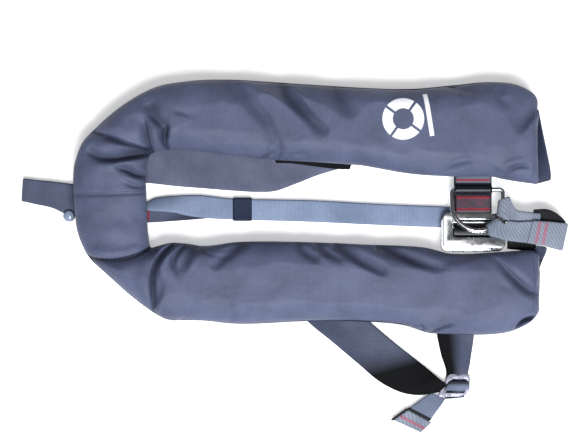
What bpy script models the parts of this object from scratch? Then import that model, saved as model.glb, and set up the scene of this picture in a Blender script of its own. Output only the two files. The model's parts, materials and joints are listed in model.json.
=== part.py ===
"""Inflatable life jacket, packed flat: cover, folded bladder, inflator, harness and buckle.

Metres, +Z up. The origin is under the middle of the collar, on the surface the jacket lies on.
+X runs from the collar towards the ends of the two front lobes, +Y towards the upper lobe.
"""
import math

import bmesh
import bpy
from mathutils import Matrix, Vector

MM = 0.001

# Overall sizes
LOBE_LENGTH = 465 * MM       # from the collar fold to the end of a lobe
LOBE_WIDTH = 100 * MM        # the lobes' mean width across the chest
COLLAR_DEPTH = 86 * MM       # collar, nape side to neck side
COVER_HEIGHT = 46 * MM       # packed thickness of the cover and what it holds
FOLD_X = 50 * MM             # where the lobes fold against the collar
UPPER_EDGE = 20 * MM         # upper lobe's inner edge at the chest strap
LOWER_EDGE = -66 * MM        # lower lobe's inner edge beside the buckle

# Cloth and clearances
COVER_WALL = 1.5 * MM
PANEL_THICK = 2.0 * MM
TUNNEL = 2.2 * MM            # room for the belts between a back panel and the cover
PANEL_INSET = 6 * MM
GAP = 0.4 * MM               # between pieces that touch
FOLD_ANGLE = math.radians(40)
FOLD_GAP = 0.4 * MM
END_ZONE = 120 * MM          # the last part of a lobe, which carries the buckle

# Webbing and harness hardware
WEBBING = 1.6 * MM
BELT_WIDTH = 45 * MM
STRAP_WIDTH = 25 * MM
LOOP_WIDTH = 30 * MM
RING_WIRE = 2.8 * MM         # radius of the D-ring's wire
RING_INSIDE = 56 * MM        # clear width of the D-ring
RING_DEPTH = 19 * MM         # straight legs of the D, from the bar to the bow
RING_TILT = math.radians(12)
BUCKLE_LENGTH = 75 * MM
BUCKLE_WIDTH = 42 * MM
BUCKLE_BAR = 8 * MM
STEEL = 2.8 * MM
BUCKLE_FROM_END = 77.5 * MM  # middle of the buckle, back from the lobes' ends
SLIDER_SIZE = (38 * MM, 28 * MM)
SLIDER_BAR = 6 * MM
KEEPER_LENGTH = 24 * MM
KEEPER_AT = 107 * MM         # middle of the keeper, from the start of the centre strap
LOOP_REACH = 76 * MM         # from the D-ring's wire to the end of the tether loop
LOOP_PLAY = 1.7 * MM         # slack round the wire, which lets the loop swing on the curved bow
LOOP_TURN = math.radians(-20)
BLADDER_INSET = 18 * MM      # from a lobe's edge, where the cover curves down

# Inflator
GAS_RADIUS = 15 * MM
GAS_LENGTH = 112 * MM
NECK_RADIUS = 6 * MM
NECK_LENGTH = 9 * MM
BODY_DEPTH = 30 * MM         # inflator body along X
BODY_WIDTH = 60 * MM
BODY_HEIGHT = 26 * MM
CAP_RADIUS = 13 * MM
CAP_LENGTH = 26 * MM
CAP_WALL = 1.8 * MM
INFLATOR_FROM_END = 40 * MM
LEVER_PIN = 1.5 * MM         # radius
LEVER_PIN_DEPTH = 7.5 * MM   # how deep it sits in the body
PIN_BORE = 6 * MM            # radius of the firing pin's bore
TUBE_RADIUS = 7 * MM
TUBE_LENGTH = 62 * MM
SCREW_STEPS = 24

# Places that follow from the sizes above
LOBE_END = FOLD_X + LOBE_LENGTH
COVER_BOTTOM = PANEL_THICK + TUNNEL
COVER_MIDDLE = COVER_BOTTOM + COVER_HEIGHT / 2
BELT_Z = PANEL_THICK + 0.3 * MM
STRAP_Z = BELT_Z + WEBBING + 0.6 * MM
FOLD_SLOPE = math.tan(FOLD_ANGLE / 2 + math.radians(1.5))
BUCKLE_X = LOBE_END - BUCKLE_FROM_END
WEB_X = BUCKLE_X - 1.8 * MM
RING_X = BUCKLE_X + 3 * MM
RING_Y = UPPER_EDGE - 15 * MM
RING_Z = COVER_BOTTOM + 21.8 * MM
CHEST_PIVOT_Y = UPPER_EDGE - 2 * MM
FLAT_TOP = RING_Z - 2.3 * MM
FLAT_BOTTOM = FLAT_TOP - 2 * WEBBING
PLATE_TOP_Y = UPPER_EDGE - 43 * MM
PLATE_Z = RING_Z - 5.3 * MM
FRAME_TOP_Y = PLATE_TOP_Y - 4 * MM
FRAME_Z = PLATE_Z - STEEL - 3.1 * MM
INFLATOR_X = LOBE_END - INFLATOR_FROM_END - BODY_DEPTH
GAS_Y = LOWER_EDGE - 34 * MM
CAP_Y = GAS_Y - GAS_RADIUS - CAP_RADIUS - 3 * MM
FRAME_BAR = (FRAME_TOP_Y - 16 * MM, FRAME_TOP_Y - 22 * MM)
RING_ARM = RING_INSIDE / 2 + RING_WIRE
CENTRE_START = Vector((FOLD_X + 2 * MM, -14 * MM))
CENTRE_END = Vector((BUCKLE_X - 3 * MM, -28.5 * MM))
CENTRE_ALONG = (CENTRE_END - CENTRE_START).normalized()
BLADDER_FLOOR = COVER_BOTTOM + 6 * MM
BLADDER_HEIGHT = COVER_HEIGHT - 12 * MM
ALONG_X = (0, math.pi / 2, 0)        # turned pieces' +Z laid along +X

# Lobe outlines: place along the lobe, shift of the inner edge in millimetres, width over LOBE_WIDTH.
# Before END_ZONE a place is a share of the plain length; in it, the distance back from the end in millimetres.
UPPER_OUTLINE = ((0.0, 30, 0.76), (0.081, 36, 0.78), (0.189, 31, 0.87), (0.391, 22, 0.95), (0.553, 18, 0.96),
                 (0.728, 13, 0.98), (0.903, 4, 1.06))
UPPER_END = ((107, 1, 1.12), (55.8, 0, 1.17), (27.9, -4, 1.18), (11.6, -2, 1.13), (3.7, 4, 1.02))
LOWER_OUTLINE = ((0.0, 1, 0.78), (0.067, 7, 0.93), (0.189, 4, 0.92), (0.297, 8, 1.0), (0.553, 8, 0.98),
                 (0.795, 5, 0.97), (0.943, 3, 1.03))
LOWER_END = ((107, -4.6, 1.0), (44.2, -4.8, 0.97), (27.9, -3, 0.97), (11.6, -3, 0.93), (3.7, -9, 0.8))
END_HEIGHTS = {27.9: 0.95, 11.6: 0.8, 3.7: 0.55}


# ---- scene, materials and small helpers --------------------------------------------------------

def clear_scene():
    """Removes whatever the file already holds."""
    for obj in list(bpy.data.objects):
        bpy.data.objects.remove(obj, do_unlink=True)


def new_collection(name):
    """A collection linked under the scene."""
    collection = bpy.data.collections.new(name)
    bpy.context.scene.collection.children.link(collection)
    return collection


clear_scene()
PARTS = new_collection("inflatable_life_jacket")
CUTTERS = new_collection("cutters")


def finish(obj, color, roughness=0.8, metallic=0.0):
    """Gives an object its own Principled material and puts it in the parts collection."""
    material = bpy.data.materials.new(obj.name)
    material.use_nodes = True
    shader = material.node_tree.nodes["Principled BSDF"]
    shader.inputs["Base Color"].default_value = (*color, 1.0)
    shader.inputs["Roughness"].default_value = roughness
    shader.inputs["Metallic"].default_value = metallic
    obj.data.materials.clear()
    obj.data.materials.append(material)
    return obj


NAVY = (0.10, 0.12, 0.21)
BLADDER = (0.80, 0.45, 0.05)
PANEL = (0.05, 0.06, 0.09)
GREY_WEBBING = (0.22, 0.27, 0.37)
DARK_WEBBING = (0.01, 0.014, 0.025)
POLISHED = (0.75, 0.76, 0.78)
PLASTIC = (0.03, 0.03, 0.035)


def mesh_object(name, mesh, collection=None):
    """An object around a finished mesh."""
    obj = bpy.data.objects.new(name, mesh)
    (collection or PARTS).objects.link(obj)
    return obj


def loft(name, rings, cap_start=False, cap_end=False, collection=None):
    """A skin over rings of equally many points, each ring a closed section."""
    bm = bmesh.new()
    rows = [[bm.verts.new(point) for point in ring] for ring in rings]
    count = len(rows[0])
    for first, second in zip(rows, rows[1:]):
        for i in range(count):
            j = (i + 1) % count
            bm.faces.new((first[i], first[j], second[j], second[i]))
    if cap_start:
        bm.faces.new(tuple(reversed(rows[0])))
    if cap_end:
        bm.faces.new(rows[-1])
    mesh = bpy.data.meshes.new(name)
    bm.to_mesh(mesh)
    bm.free()
    mesh.shade_smooth()
    return mesh_object(name, mesh, collection)


def section(start, end, bottom, height, points=26, power=2.6):
    """A rounded section between two plan points, standing on `bottom`."""
    ring = []
    middle = (Vector(start) + Vector(end)) / 2
    half = (Vector(end) - Vector(start)) / 2
    for i in range(points):
        turn = 2 * math.pi * i / points
        across = math.copysign(abs(math.cos(turn)) ** (2 / power), math.cos(turn))
        up = math.copysign(abs(math.sin(turn)) ** (2 / power), math.sin(turn))
        place = middle + half * across
        ring.append((place.x, place.y, bottom + height * (1 + up) / 2))
    return ring


def solidify(obj, thickness):
    """A wall grown inwards from an open surface."""
    wall = obj.modifiers.new("wall", "SOLIDIFY")
    wall.thickness = thickness
    wall.offset = -1
    wall.use_rim = True
    return obj


def flat_piece(name, outline, bottom, thickness, holes=()):
    """A plate cut to an outline in plan, with any holes, standing on `bottom`."""
    curve = bpy.data.curves.new(name, "CURVE")
    curve.dimensions = "2D"
    curve.fill_mode = "BOTH"
    curve.extrude = thickness / 2
    for points in (outline, *holes):
        spline = curve.splines.new("POLY")
        spline.points.add(len(points) - 1)
        for slot, (x, y) in zip(spline.points, points):
            slot.co = (x, y, 0, 1)
        spline.use_cyclic_u = True
    obj = bpy.data.objects.new(name, curve)
    obj.location.z = bottom + thickness / 2
    PARTS.objects.link(obj)
    return obj


def profile_along_x(name, outline, middle_x, width, holes=()):
    """A piece whose outline in Y and Z is the same all along X."""
    obj = flat_piece(name, outline, 0, width, holes)
    obj.rotation_euler = (math.pi / 2, 0, math.pi / 2)
    obj.location = (middle_x, 0, 0)
    return obj


def turned(name, profile, place, rotation=(0, 0, 0)):
    """A turned piece: (radius, height) points run down the outside, then back up any bore."""
    mesh = bpy.data.meshes.new(name)
    bm = bmesh.new()
    verts = [bm.verts.new((radius, 0, height)) for radius, height in profile]
    closed = all(radius > 0 for radius, height in profile)
    pairs = list(zip(verts, verts[1:])) + ([(verts[-1], verts[0])] if closed else [])
    for first, second in pairs:
        bm.edges.new((first, second))
    bm.to_mesh(mesh)
    bm.free()
    obj = mesh_object(name, mesh)
    screw = obj.modifiers.new("turn", "SCREW")
    screw.steps = SCREW_STEPS
    screw.render_steps = SCREW_STEPS
    screw.use_merge_vertices = True
    screw.merge_threshold = 0.00001
    obj.location = place
    obj.rotation_euler = rotation
    return obj


def wire(name, points, radius, cyclic=False):
    """A round wire through points."""
    curve = bpy.data.curves.new(name, "CURVE")
    curve.dimensions = "3D"
    curve.bevel_depth = radius
    curve.bevel_resolution = 2
    curve.use_fill_caps = True
    spline = curve.splines.new("POLY")
    spline.points.add(len(points) - 1)
    for slot, point in zip(spline.points, points):
        slot.co = (*point, 1)
    spline.use_cyclic_u = cyclic
    obj = bpy.data.objects.new(name, curve)
    PARTS.objects.link(obj)
    return obj


def box(name, low, high, bevel=0.0, collection=None):
    """A box between two corners, its edges rounded by `bevel`."""
    mesh = bpy.data.meshes.new(name)
    bm = bmesh.new()
    bmesh.ops.create_cube(bm, size=1.0)
    size = Vector(high) - Vector(low)
    middle = (Vector(high) + Vector(low)) / 2
    bmesh.ops.transform(bm, matrix=Matrix.Translation(middle) @ Matrix.Diagonal((*size, 1)), verts=bm.verts)
    if bevel:
        bmesh.ops.bevel(bm, geom=bm.edges[:], offset=bevel, segments=2, affect="EDGES", profile=0.5)
    bm.to_mesh(mesh)
    bm.free()
    return mesh_object(name, mesh, collection)


def cut(obj, cutter, operation="DIFFERENCE"):
    """Cuts or joins one solid with another, which stays as a guide."""
    cutter.hide_render = True
    cutter.display_type = "WIRE"
    boolean = obj.modifiers.new(operation.lower(), "BOOLEAN")
    boolean.operation = operation
    boolean.solver = "EXACT"
    boolean.object = cutter
    return obj


def rounded_rectangle(middle, size, radius, steps=4):
    """The outline of a rectangle with round corners."""
    points = []
    half_x, half_y = size[0] / 2 - radius, size[1] / 2 - radius
    for quarter, (sx, sy) in enumerate(((1, 1), (-1, 1), (-1, -1), (1, -1))):
        for i in range(steps + 1):
            turn = math.pi / 2 * (quarter + i / steps)
            x = middle[0] + sx * half_x + radius * math.cos(turn)
            y = middle[1] + sy * half_y + radius * math.sin(turn)
            points.append((x, y))
    return points


def circle(middle, radius, steps=16):
    """Points round a circle."""
    turns = [2 * math.pi * i / steps for i in range(steps)]
    return [(middle[0] + radius * math.cos(t), middle[1] + radius * math.sin(t)) for t in turns]


# ---- cover, back panels and bladder -------------------------------------------------------------

def lobe_sides(outline, end, edge, direction):
    """(x, inner y, outer y, share of the height) along a lobe."""
    plain = LOBE_LENGTH - END_ZONE
    places = [(FOLD_X + place * plain, shift, width, 1.0) for place, shift, width in outline]
    places += [(LOBE_END - back * MM, shift, width, END_HEIGHTS.get(back, 1.0)) for back, shift, width in end]
    sides = []
    for x, shift, width, share in places:
        inner = edge + shift * MM
        sides.append((x, inner, inner + direction * width * LOBE_WIDTH, share))
    return sides


UPPER_SIDES = lobe_sides(UPPER_OUTLINE, UPPER_END, UPPER_EDGE, 1)
LOWER_SIDES = lobe_sides(LOWER_OUTLINE, LOWER_END, LOWER_EDGE, -1)
SLIDER_X = BUCKLE_X - 22 * MM
SLIDER_Y = LOWER_SIDES[5][2] - 73 * MM


def cover_lobe(name, sides):
    """A lobe's cover: a closed-end sleeve that is open at the fold, where it slopes back."""
    rings = []
    for x, inner, outer, share in sides:
        height = COVER_HEIGHT * share
        bottom = COVER_BOTTOM + (COVER_HEIGHT - height) * 0.35
        low, high = sorted((inner, outer))
        rings.append(section((x, low), (x, high), bottom, height))
    first = [(FOLD_X + FOLD_GAP + z * FOLD_SLOPE, y, z) for x, y, z in rings[0]]
    rings = [first] + [ring for ring in rings[1:] if ring[0][0] > FOLD_X + 21 * MM]
    cover = solidify(loft(name, rings, cap_end=True), COVER_WALL)
    return finish(cover, NAVY)


def back_panel(name, sides):
    """The flat cloth panel that a lobe's contents lie on."""
    start = FOLD_X + FOLD_GAP + PANEL_THICK * FOLD_SLOPE
    direction = 1 if sides[0][2] > sides[0][1] else -1
    inner = [(max(x, start), y + direction * PANEL_INSET) for x, y, _, _ in sides[:-1]]
    outer = [(max(x, start), y - direction * PANEL_INSET) for x, _, y, _ in sides[:-1]]
    return finish(flat_piece(name, inner + outer[::-1], 0, PANEL_THICK), PANEL)


def collar_stations():
    """Plan points on the neck side and the nape side, from the upper fold round to the lower one."""
    half = COLLAR_DEPTH / 2
    upper_in, upper_out = UPPER_SIDES[0][1], UPPER_SIDES[0][2]
    lower_in, lower_out = LOWER_SIDES[0][1], LOWER_SIDES[0][2]
    return (
        ((FOLD_X, upper_in), (FOLD_X, upper_out)),
        ((FOLD_X - 3 * MM, upper_in - 4 * MM), (FOLD_X - 30 * MM, upper_out - 18 * MM)),
        ((half + 1 * MM, upper_in - 10 * MM), (FOLD_X - 58 * MM, upper_out - 40 * MM)),
        ((half - 1 * MM, upper_in - 18 * MM), (-half + 15 * MM, upper_out - 59 * MM)),
        ((half - 1 * MM, upper_in - 28 * MM), (-half + 4 * MM, upper_out - 78 * MM)),
        ((half, upper_in - 42 * MM), (-half, upper_out - 96 * MM)),
        ((half, upper_in - 58 * MM), (-half, -2 * MM)),
        ((half + 1 * MM, lower_in + 40 * MM), (-half + 2 * MM, -28 * MM)),
        ((half + 2 * MM, lower_in + 23 * MM), (-half + 7 * MM, lower_out + 91 * MM)),
        ((half + 3 * MM, lower_in + 11 * MM), (-half + 19 * MM, lower_out + 66 * MM)),
        ((half + 4.5 * MM, lower_in + 4 * MM), (FOLD_X - 48 * MM, lower_out + 44 * MM)),
        ((half + 5.5 * MM, lower_in + 1 * MM), (FOLD_X - 22 * MM, lower_out + 19 * MM)),
        ((FOLD_X, lower_in), (FOLD_X, lower_out)),
    )


def fold_wedge(name, low_y, high_y):
    """Cuts the collar's end back by half the fold, from the hinge line up."""
    top = COVER_BOTTOM + COVER_HEIGHT + 10 * MM
    back = FOLD_X - FOLD_GAP
    rings = []
    for y in (low_y, high_y):
        rings.append(((back + FOLD_SLOPE * 5 * MM, y, -5 * MM), (FOLD_X + 30 * MM, y, -5 * MM),
                      (FOLD_X + 30 * MM, y, top), (back - FOLD_SLOPE * top, y, top)))
    wedge = loft(name, rings, cap_start=True, cap_end=True, collection=CUTTERS)
    bm = bmesh.new()
    bm.from_mesh(wedge.data)
    bmesh.ops.recalc_face_normals(bm, faces=bm.faces)
    bm.to_mesh(wedge.data)
    bm.free()
    return wedge


def cover_collar():
    """The collar's cover: a bent sleeve, open at both folds."""
    rings = [section(outer, inner, COVER_BOTTOM, COVER_HEIGHT) for inner, outer in collar_stations()]
    cover = solidify(loft("cover_collar", rings), COVER_WALL)
    reach = 40 * MM
    cut(cover, fold_wedge("upper_fold_cut", UPPER_SIDES[0][1] - 8 * MM, UPPER_SIDES[0][2] + reach))
    cut(cover, fold_wedge("lower_fold_cut", LOWER_SIDES[0][2] - reach, LOWER_SIDES[1][1] + 3 * MM))
    return finish(cover, NAVY)


def back_panel_collar():
    """The flat panel behind the neck, which the collar rests on."""
    stop = FOLD_X - FOLD_GAP - PANEL_THICK * FOLD_SLOPE
    inner, outer = [], []
    for near, far in collar_stations():
        across = (Vector(far) - Vector(near)).normalized() * PANEL_INSET
        inner.append((min(near[0] + across.x, stop), near[1] + across.y))
        outer.append((min(far[0] - across.x, stop), far[1] - across.y))
    return finish(flat_piece("back_panel_collar", inner + outer[::-1], 0, PANEL_THICK), PANEL)


def folded_outline(low, width, height, layers, gap):
    """Cloth folded to and fro: `layers` layers one above the other, joined at alternate sides."""
    thick = (height - (layers - 1) * gap) / layers
    step = thick + gap
    x0, z0 = low
    points = [(x0, z0), (x0 + width, z0)]
    for i in range(1, layers - 1, 2):
        floor, roof = z0 + i * step + thick, z0 + (i + 1) * step
        points += [(x0 + width, floor), (x0 + thick, floor), (x0 + thick, roof), (x0 + width, roof)]
    points += [(x0 + width, z0 + height), (x0, z0 + height)]
    start = layers - 2 if layers % 2 == 0 else layers - 3
    for i in range(start, -1, -2):
        floor, roof = z0 + i * step + thick, z0 + (i + 1) * step
        points += [(x0, roof), (x0 + width - thick, roof), (x0 + width - thick, floor), (x0, floor)]
    return points


def edge_at(sides, x, index):
    """A lobe's inner (1) or outer (2) edge at a place along it."""
    for first, second in zip(sides, sides[1:]):
        if first[0] <= x <= second[0]:
            share = (x - first[0]) / (second[0] - first[0])
            return first[index] + share * (second[index] - first[index])
    return sides[-1][index]


def bladder_lobe(name, sides, start, stop):
    """A lobe's folded bladder: one length of folds, as wide as the narrowest place allows."""
    direction = 1 if sides[0][2] > sides[0][1] else -1
    spots = [start + (stop - start) * i / 12 for i in range(13)]
    inner = max(direction * edge_at(sides, x, 1) for x in spots) + BLADDER_INSET
    outer = min(direction * edge_at(sides, x, 2) for x in spots) - BLADDER_INSET
    low = inner if direction > 0 else -outer
    outline = folded_outline((low, BLADDER_FLOOR), outer - inner, BLADDER_HEIGHT, 4, 1.2 * MM)
    obj = profile_along_x(name, outline, (start + stop) / 2, stop - start)
    return finish(obj, BLADDER)


def bladder_collar():
    """The bladder folded along the collar, between its two corners."""
    half = COLLAR_DEPTH / 2 - BLADDER_INSET
    outline = folded_outline((-half, BLADDER_FLOOR), 2 * half, BLADDER_HEIGHT, 4, 1.2 * MM)
    obj = flat_piece("bladder_collar", outline, 0, 60 * MM)
    obj.rotation_euler = (math.pi / 2, 0, 0)
    obj.location = (0, -6 * MM, 0)
    return finish(obj, BLADDER)


def closure_strip(name, sides, start, stop):
    """The hook-and-loop strip along a lobe's outer edge, inside the cover."""
    direction = 1 if sides[0][2] > sides[0][1] else -1
    spots = [start + (stop - start) * i / 6 for i in range(7)]
    outer = [(x, edge_at(sides, x, 2) - direction * 6 * MM) for x in spots]
    inner = [(x, edge_at(sides, x, 2) - direction * 13 * MM) for x in reversed(spots)]
    return finish(flat_piece(name, outer + inner, COVER_MIDDLE, 2 * MM), PLASTIC)


# ---- straps -------------------------------------------------------------------------------------

def ribbon(path, width):
    """The outline of a flat strap of one width along a path in plan."""
    left, right = [], []
    for i, point in enumerate(path):
        before = Vector(path[max(i - 1, 0)])
        after = Vector(path[min(i + 1, len(path) - 1)])
        along = (after - before).normalized()
        side = Vector((-along.y, along.x)) * width / 2
        left.append(tuple(Vector(point) + side))
        right.append(tuple(Vector(point) - side))
    return left + right[::-1]


def neck_strap():
    """The short webbing end that shows past the nape side of the collar."""
    half = COLLAR_DEPTH / 2
    outline = [(-half - 62 * MM, 19 * MM), (-half - 64 * MM, -9 * MM), (-half - 28 * MM, -17 * MM),
               (-half + 9 * MM, -22 * MM), (-half + 9 * MM, 11 * MM)]
    return finish(flat_piece("neck_strap", outline, BELT_Z, WEBBING), GREY_WEBBING)


def rescue_light():
    """The small emergency light beside the neck strap: a holder and a round lens."""
    place = (-COLLAR_DEPTH / 2 - 7.2 * MM, -26 * MM)
    holder_z = BELT_Z + WEBBING + GAP
    holder = turned("light_body", ((0, 2.4 * MM), (7.2 * MM, 2.4 * MM), (7.2 * MM, 0), (0, 0)),
                    (*place, holder_z))
    lens_profile = [(6.6 * MM * math.sin(t), 2.2 * MM + 3 * MM * math.cos(t))
                    for t in (0, math.pi / 6, math.pi / 3, math.pi / 2)]
    lens = turned("light_lens", (*lens_profile, (6.6 * MM, 0), (0, 0)), (*place, holder_z + 2.7 * MM))
    return finish(holder, PLASTIC), finish(lens, (0.55, 0.70, 0.90), 0.1)


def shoulder_band():
    """The wide belt that runs from the collar behind the upper lobe, in the tunnel over the panel."""
    inner = UPPER_EDGE
    path = [(FOLD_X + 2 * MM, inner + 15.5 * MM), (FOLD_X + 142 * MM, inner + 5.5 * MM),
            (FOLD_X + 242 * MM, inner + 34 * MM), (LOBE_END - 90 * MM, inner + 62 * MM)]
    return finish(flat_piece("shoulder_band", ribbon(path, BELT_WIDTH), BELT_Z, WEBBING), GREY_WEBBING)


def centre_strap():
    """The narrow back strap down the middle, from the collar to under the buckle."""
    outline = ribbon([tuple(CENTRE_START), tuple(CENTRE_END)], STRAP_WIDTH)
    return finish(flat_piece("centre_strap", outline, STRAP_Z, WEBBING), GREY_WEBBING)


def strap_keeper():
    """The elastic band round the centre strap, which slides along it."""
    place = CENTRE_START + CENTRE_ALONG * KEEPER_AT
    wall = 1.1 * MM
    inside = (STRAP_WIDTH + 2 * GAP, WEBBING + 2 * GAP)
    outside = (inside[0] + 2 * wall, inside[1] + 2 * wall)
    middle = STRAP_Z + WEBBING / 2
    outer = rounded_rectangle((0, middle), outside, 1.5 * MM, 2)
    hole = rounded_rectangle((0, middle), inside, 0.5 * MM, 1)
    obj = profile_along_x("strap_keeper", outer, 0, KEEPER_LENGTH, [hole])
    obj.location = (place.x, place.y, 0)
    obj.rotation_euler.z += math.atan2(CENTRE_ALONG.y, CENTRE_ALONG.x)
    return finish(obj, DARK_WEBBING)


def waist_belts():
    """The wide belt and the side strap that come out under the lower lobe."""
    edge = LOWER_SIDES[5][2]
    side_x = BUCKLE_X - 24 * MM
    belt = [(side_x - 187 * MM, edge + 22 * MM), (side_x - 173 * MM, edge + 5 * MM),
            (side_x - 70 * MM, edge - 73 * MM), (side_x - 48 * MM, edge - 82 * MM),
            (side_x - 30 * MM, edge - 82 * MM), (side_x - 23 * MM, edge - 74 * MM),
            (side_x - 22 * MM, edge - 58 * MM), (side_x - 97 * MM, edge + 5 * MM),
            (side_x - 118 * MM, edge + 22 * MM)]
    finish(flat_piece("waist_belt", belt, BELT_Z, WEBBING), GREY_WEBBING)
    half = STRAP_WIDTH / 2 - 0.5 * MM
    middle = SLIDER_X
    side = [(side_x - 23.5 * MM, edge + 20 * MM), (side_x - 23.5 * MM, edge - 6 * MM),
            (middle - half, SLIDER_Y + 27 * MM), (middle - half, SLIDER_Y - 17 * MM),
            (middle + half, SLIDER_Y - 17 * MM), (middle + half, SLIDER_Y + 27 * MM),
            (side_x + 23.5 * MM, edge - 6 * MM), (side_x + 23.5 * MM, edge + 20 * MM)]
    finish(flat_piece("side_strap", side, BELT_Z, WEBBING), GREY_WEBBING)


def slider():
    """The three-bar slider: its end bars lie over the strap and its middle bar under it."""
    half_x, half_y = SLIDER_SIZE[0] / 2, SLIDER_SIZE[1] / 2
    low = 0.3 * MM
    over = BELT_Z + WEBBING + GAP
    top = over + 2.4 * MM
    rail = half_x - STRAP_WIDTH / 2 - GAP
    body = box("slider", (-half_x, -half_y, low), (-half_x + rail, half_y, top))
    reach = half_x - 1 * MM
    bar_top = top - 0.2 * MM
    joined = (
        ("slider_rail", (half_x - rail, -half_y, low), (half_x, half_y, top)),
        ("slider_low_bar", (-reach, -half_y, over), (reach, -half_y + SLIDER_BAR, bar_top)),
        ("slider_high_bar", (-reach, half_y - SLIDER_BAR, over), (reach, half_y, bar_top)),
        ("slider_middle_bar", (-reach, -SLIDER_BAR / 2, low + 0.1 * MM), (reach, SLIDER_BAR / 2, BELT_Z - GAP)),
    )
    for name, near, far in joined:
        piece = box(name, near, far, collection=CUTTERS)
        piece.location = (SLIDER_X, SLIDER_Y, 0)
        cut(body, piece, "UNION")
    body.location = (SLIDER_X, SLIDER_Y, 0)
    return finish(body, POLISHED, 0.35, 1.0)


def strap_tail():
    """The strap's free end, its dark band and the stitched tab that stops it."""
    step = Vector((-0.86, -0.51))
    start = Vector((SLIDER_X - SLIDER_SIZE[0] / 2 - 1 * MM, SLIDER_Y - 11 * MM))
    side = Vector((0.51, -0.86)) * STRAP_WIDTH / 2

    def part(name, begin, end, width, color):
        near, far = start + step * begin, start + step * end
        outline = [near + side * width, far + side * width, far - side * width, near - side * width]
        bottom = BELT_Z + WEBBING + GAP
        return finish(flat_piece(name, [tuple(p) for p in outline], bottom, WEBBING), color)

    part("strap_tail", 12 * MM, 33 * MM, 1.0, GREY_WEBBING)
    part("tail_band", 33.4 * MM, 38 * MM, 1.12, DARK_WEBBING)
    part("tail_tab", 38.4 * MM, 58 * MM, 1.2, GREY_WEBBING)


# ---- chest strap, buckle, D-ring and tether loop ------------------------------------------------

def chest_webbing():
    """Doubled webbing from the upper lobe, folded round the D-ring's bar and the buckle plate's bar."""
    hole = RING_WIRE + GAP
    bulge = hole + WEBBING
    dip = RING_Z - FLAT_TOP
    open_angle = math.asin(dip / bulge)
    turns = [math.pi + open_angle - (math.pi + 2 * open_angle) * i / 10 for i in range(11)]
    arc = [(RING_Y + bulge * math.cos(t), RING_Z + bulge * math.sin(t)) for t in turns]
    near, far = PLATE_TOP_Y + GAP, PLATE_TOP_Y - BUCKLE_BAR - GAP
    floor, roof = PLATE_Z - GAP, PLATE_Z + STEEL + GAP
    wrap_low, wrap_high = floor - WEBBING, roof + WEBBING
    end = far - WEBBING
    outline = [(CHEST_PIVOT_Y, FLAT_BOTTOM), (CHEST_PIVOT_Y, FLAT_TOP)] + arc[::-1] + [
        (near + 3.5 * MM, FLAT_TOP), (near + 1.5 * MM, wrap_high), (end + 1 * MM, wrap_high),
        (end, roof), (end, floor), (end + 1 * MM, wrap_low), (near + 1.5 * MM, wrap_low),
        (near + 3.5 * MM, FLAT_BOTTOM)]
    bar_hole = [(far, floor), (near, floor), (near, roof), (far, roof)]
    obj = profile_along_x("chest_webbing", outline, WEB_X, BELT_WIDTH,
                          [circle((RING_Y, RING_Z), hole), bar_hole])
    return finish(obj, DARK_WEBBING, 0.6)


def buckle_plate():
    """The upper half of the steel buckle, on the chest webbing."""
    middle = (BUCKLE_X, PLATE_TOP_Y - BUCKLE_WIDTH / 2)
    outline = rounded_rectangle(middle, (BUCKLE_LENGTH, BUCKLE_WIDTH), 7 * MM)
    opening = (BUCKLE_LENGTH - 24 * MM, BUCKLE_WIDTH - BUCKLE_BAR - 13 * MM)
    hole_y = PLATE_TOP_Y - BUCKLE_BAR - opening[1] / 2
    hole = rounded_rectangle((BUCKLE_X, hole_y), opening, 2.5 * MM)
    return finish(flat_piece("buckle_plate", outline, PLATE_Z, STEEL, [hole]), POLISHED, 0.15, 1.0)


def buckle_frame():
    """The lower half of the buckle: a frame with a middle bar for the lower webbing."""
    middle = (BUCKLE_X - 2 * MM, FRAME_TOP_Y - BUCKLE_WIDTH / 2)
    outline = rounded_rectangle(middle, (BUCKLE_LENGTH, BUCKLE_WIDTH), 7 * MM)
    width = BUCKLE_LENGTH - 24 * MM
    bar_top, bar_bottom = FRAME_BAR
    top, bottom = FRAME_TOP_Y - BUCKLE_BAR, FRAME_TOP_Y - BUCKLE_WIDTH + BUCKLE_BAR
    holes = []
    for high, low in ((top, bar_top), (bar_bottom, bottom)):
        holes.append(rounded_rectangle((middle[0], (high + low) / 2), (width, high - low), 1.5 * MM, 2))
    return finish(flat_piece("buckle_frame", outline, FRAME_Z, STEEL, holes), POLISHED, 0.15, 1.0)


def buckle_webbing():
    """The lower lobe's webbing, folded round the frame's middle bar."""
    near, far = FRAME_BAR[0] + GAP, FRAME_BAR[1] - GAP
    floor, roof = FRAME_Z - GAP, FRAME_Z + STEEL + GAP
    top = roof + WEBBING
    under = FRAME_Z - 0.8 * MM
    low = under - 2 * WEBBING
    end = LOWER_EDGE - 3.5 * MM
    outline = [(end, low), (near - 1.5 * MM, low), (near + WEBBING, floor - WEBBING + 1 * MM),
               (near + WEBBING, roof), (near + 0.6 * MM, top), (far - 0.6 * MM, top),
               (far - WEBBING, roof), (far - WEBBING, floor), (far - 3 * MM, under), (end, under)]
    hole = [(far, floor), (near, floor), (near, roof), (far, roof)]
    obj = profile_along_x("buckle_webbing", outline, WEB_X - 1 * MM, BELT_WIDTH, [hole])
    return finish(obj, DARK_WEBBING, 0.6)


def belt_end_tab():
    """The dark webbing end beside the buckle, over the lower lobe's inner edge."""
    outline = [(BUCKLE_X + 40 * MM, FRAME_TOP_Y - 27 * MM), (LOBE_END - 2 * MM, FRAME_TOP_Y - 25 * MM),
               (LOBE_END - 2 * MM, LOWER_EDGE + 2 * MM), (BUCKLE_X + 40 * MM, LOWER_EDGE + 2 * MM)]
    return finish(flat_piece("belt_end_tab", outline, FRAME_Z, 2 * WEBBING), DARK_WEBBING)


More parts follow.
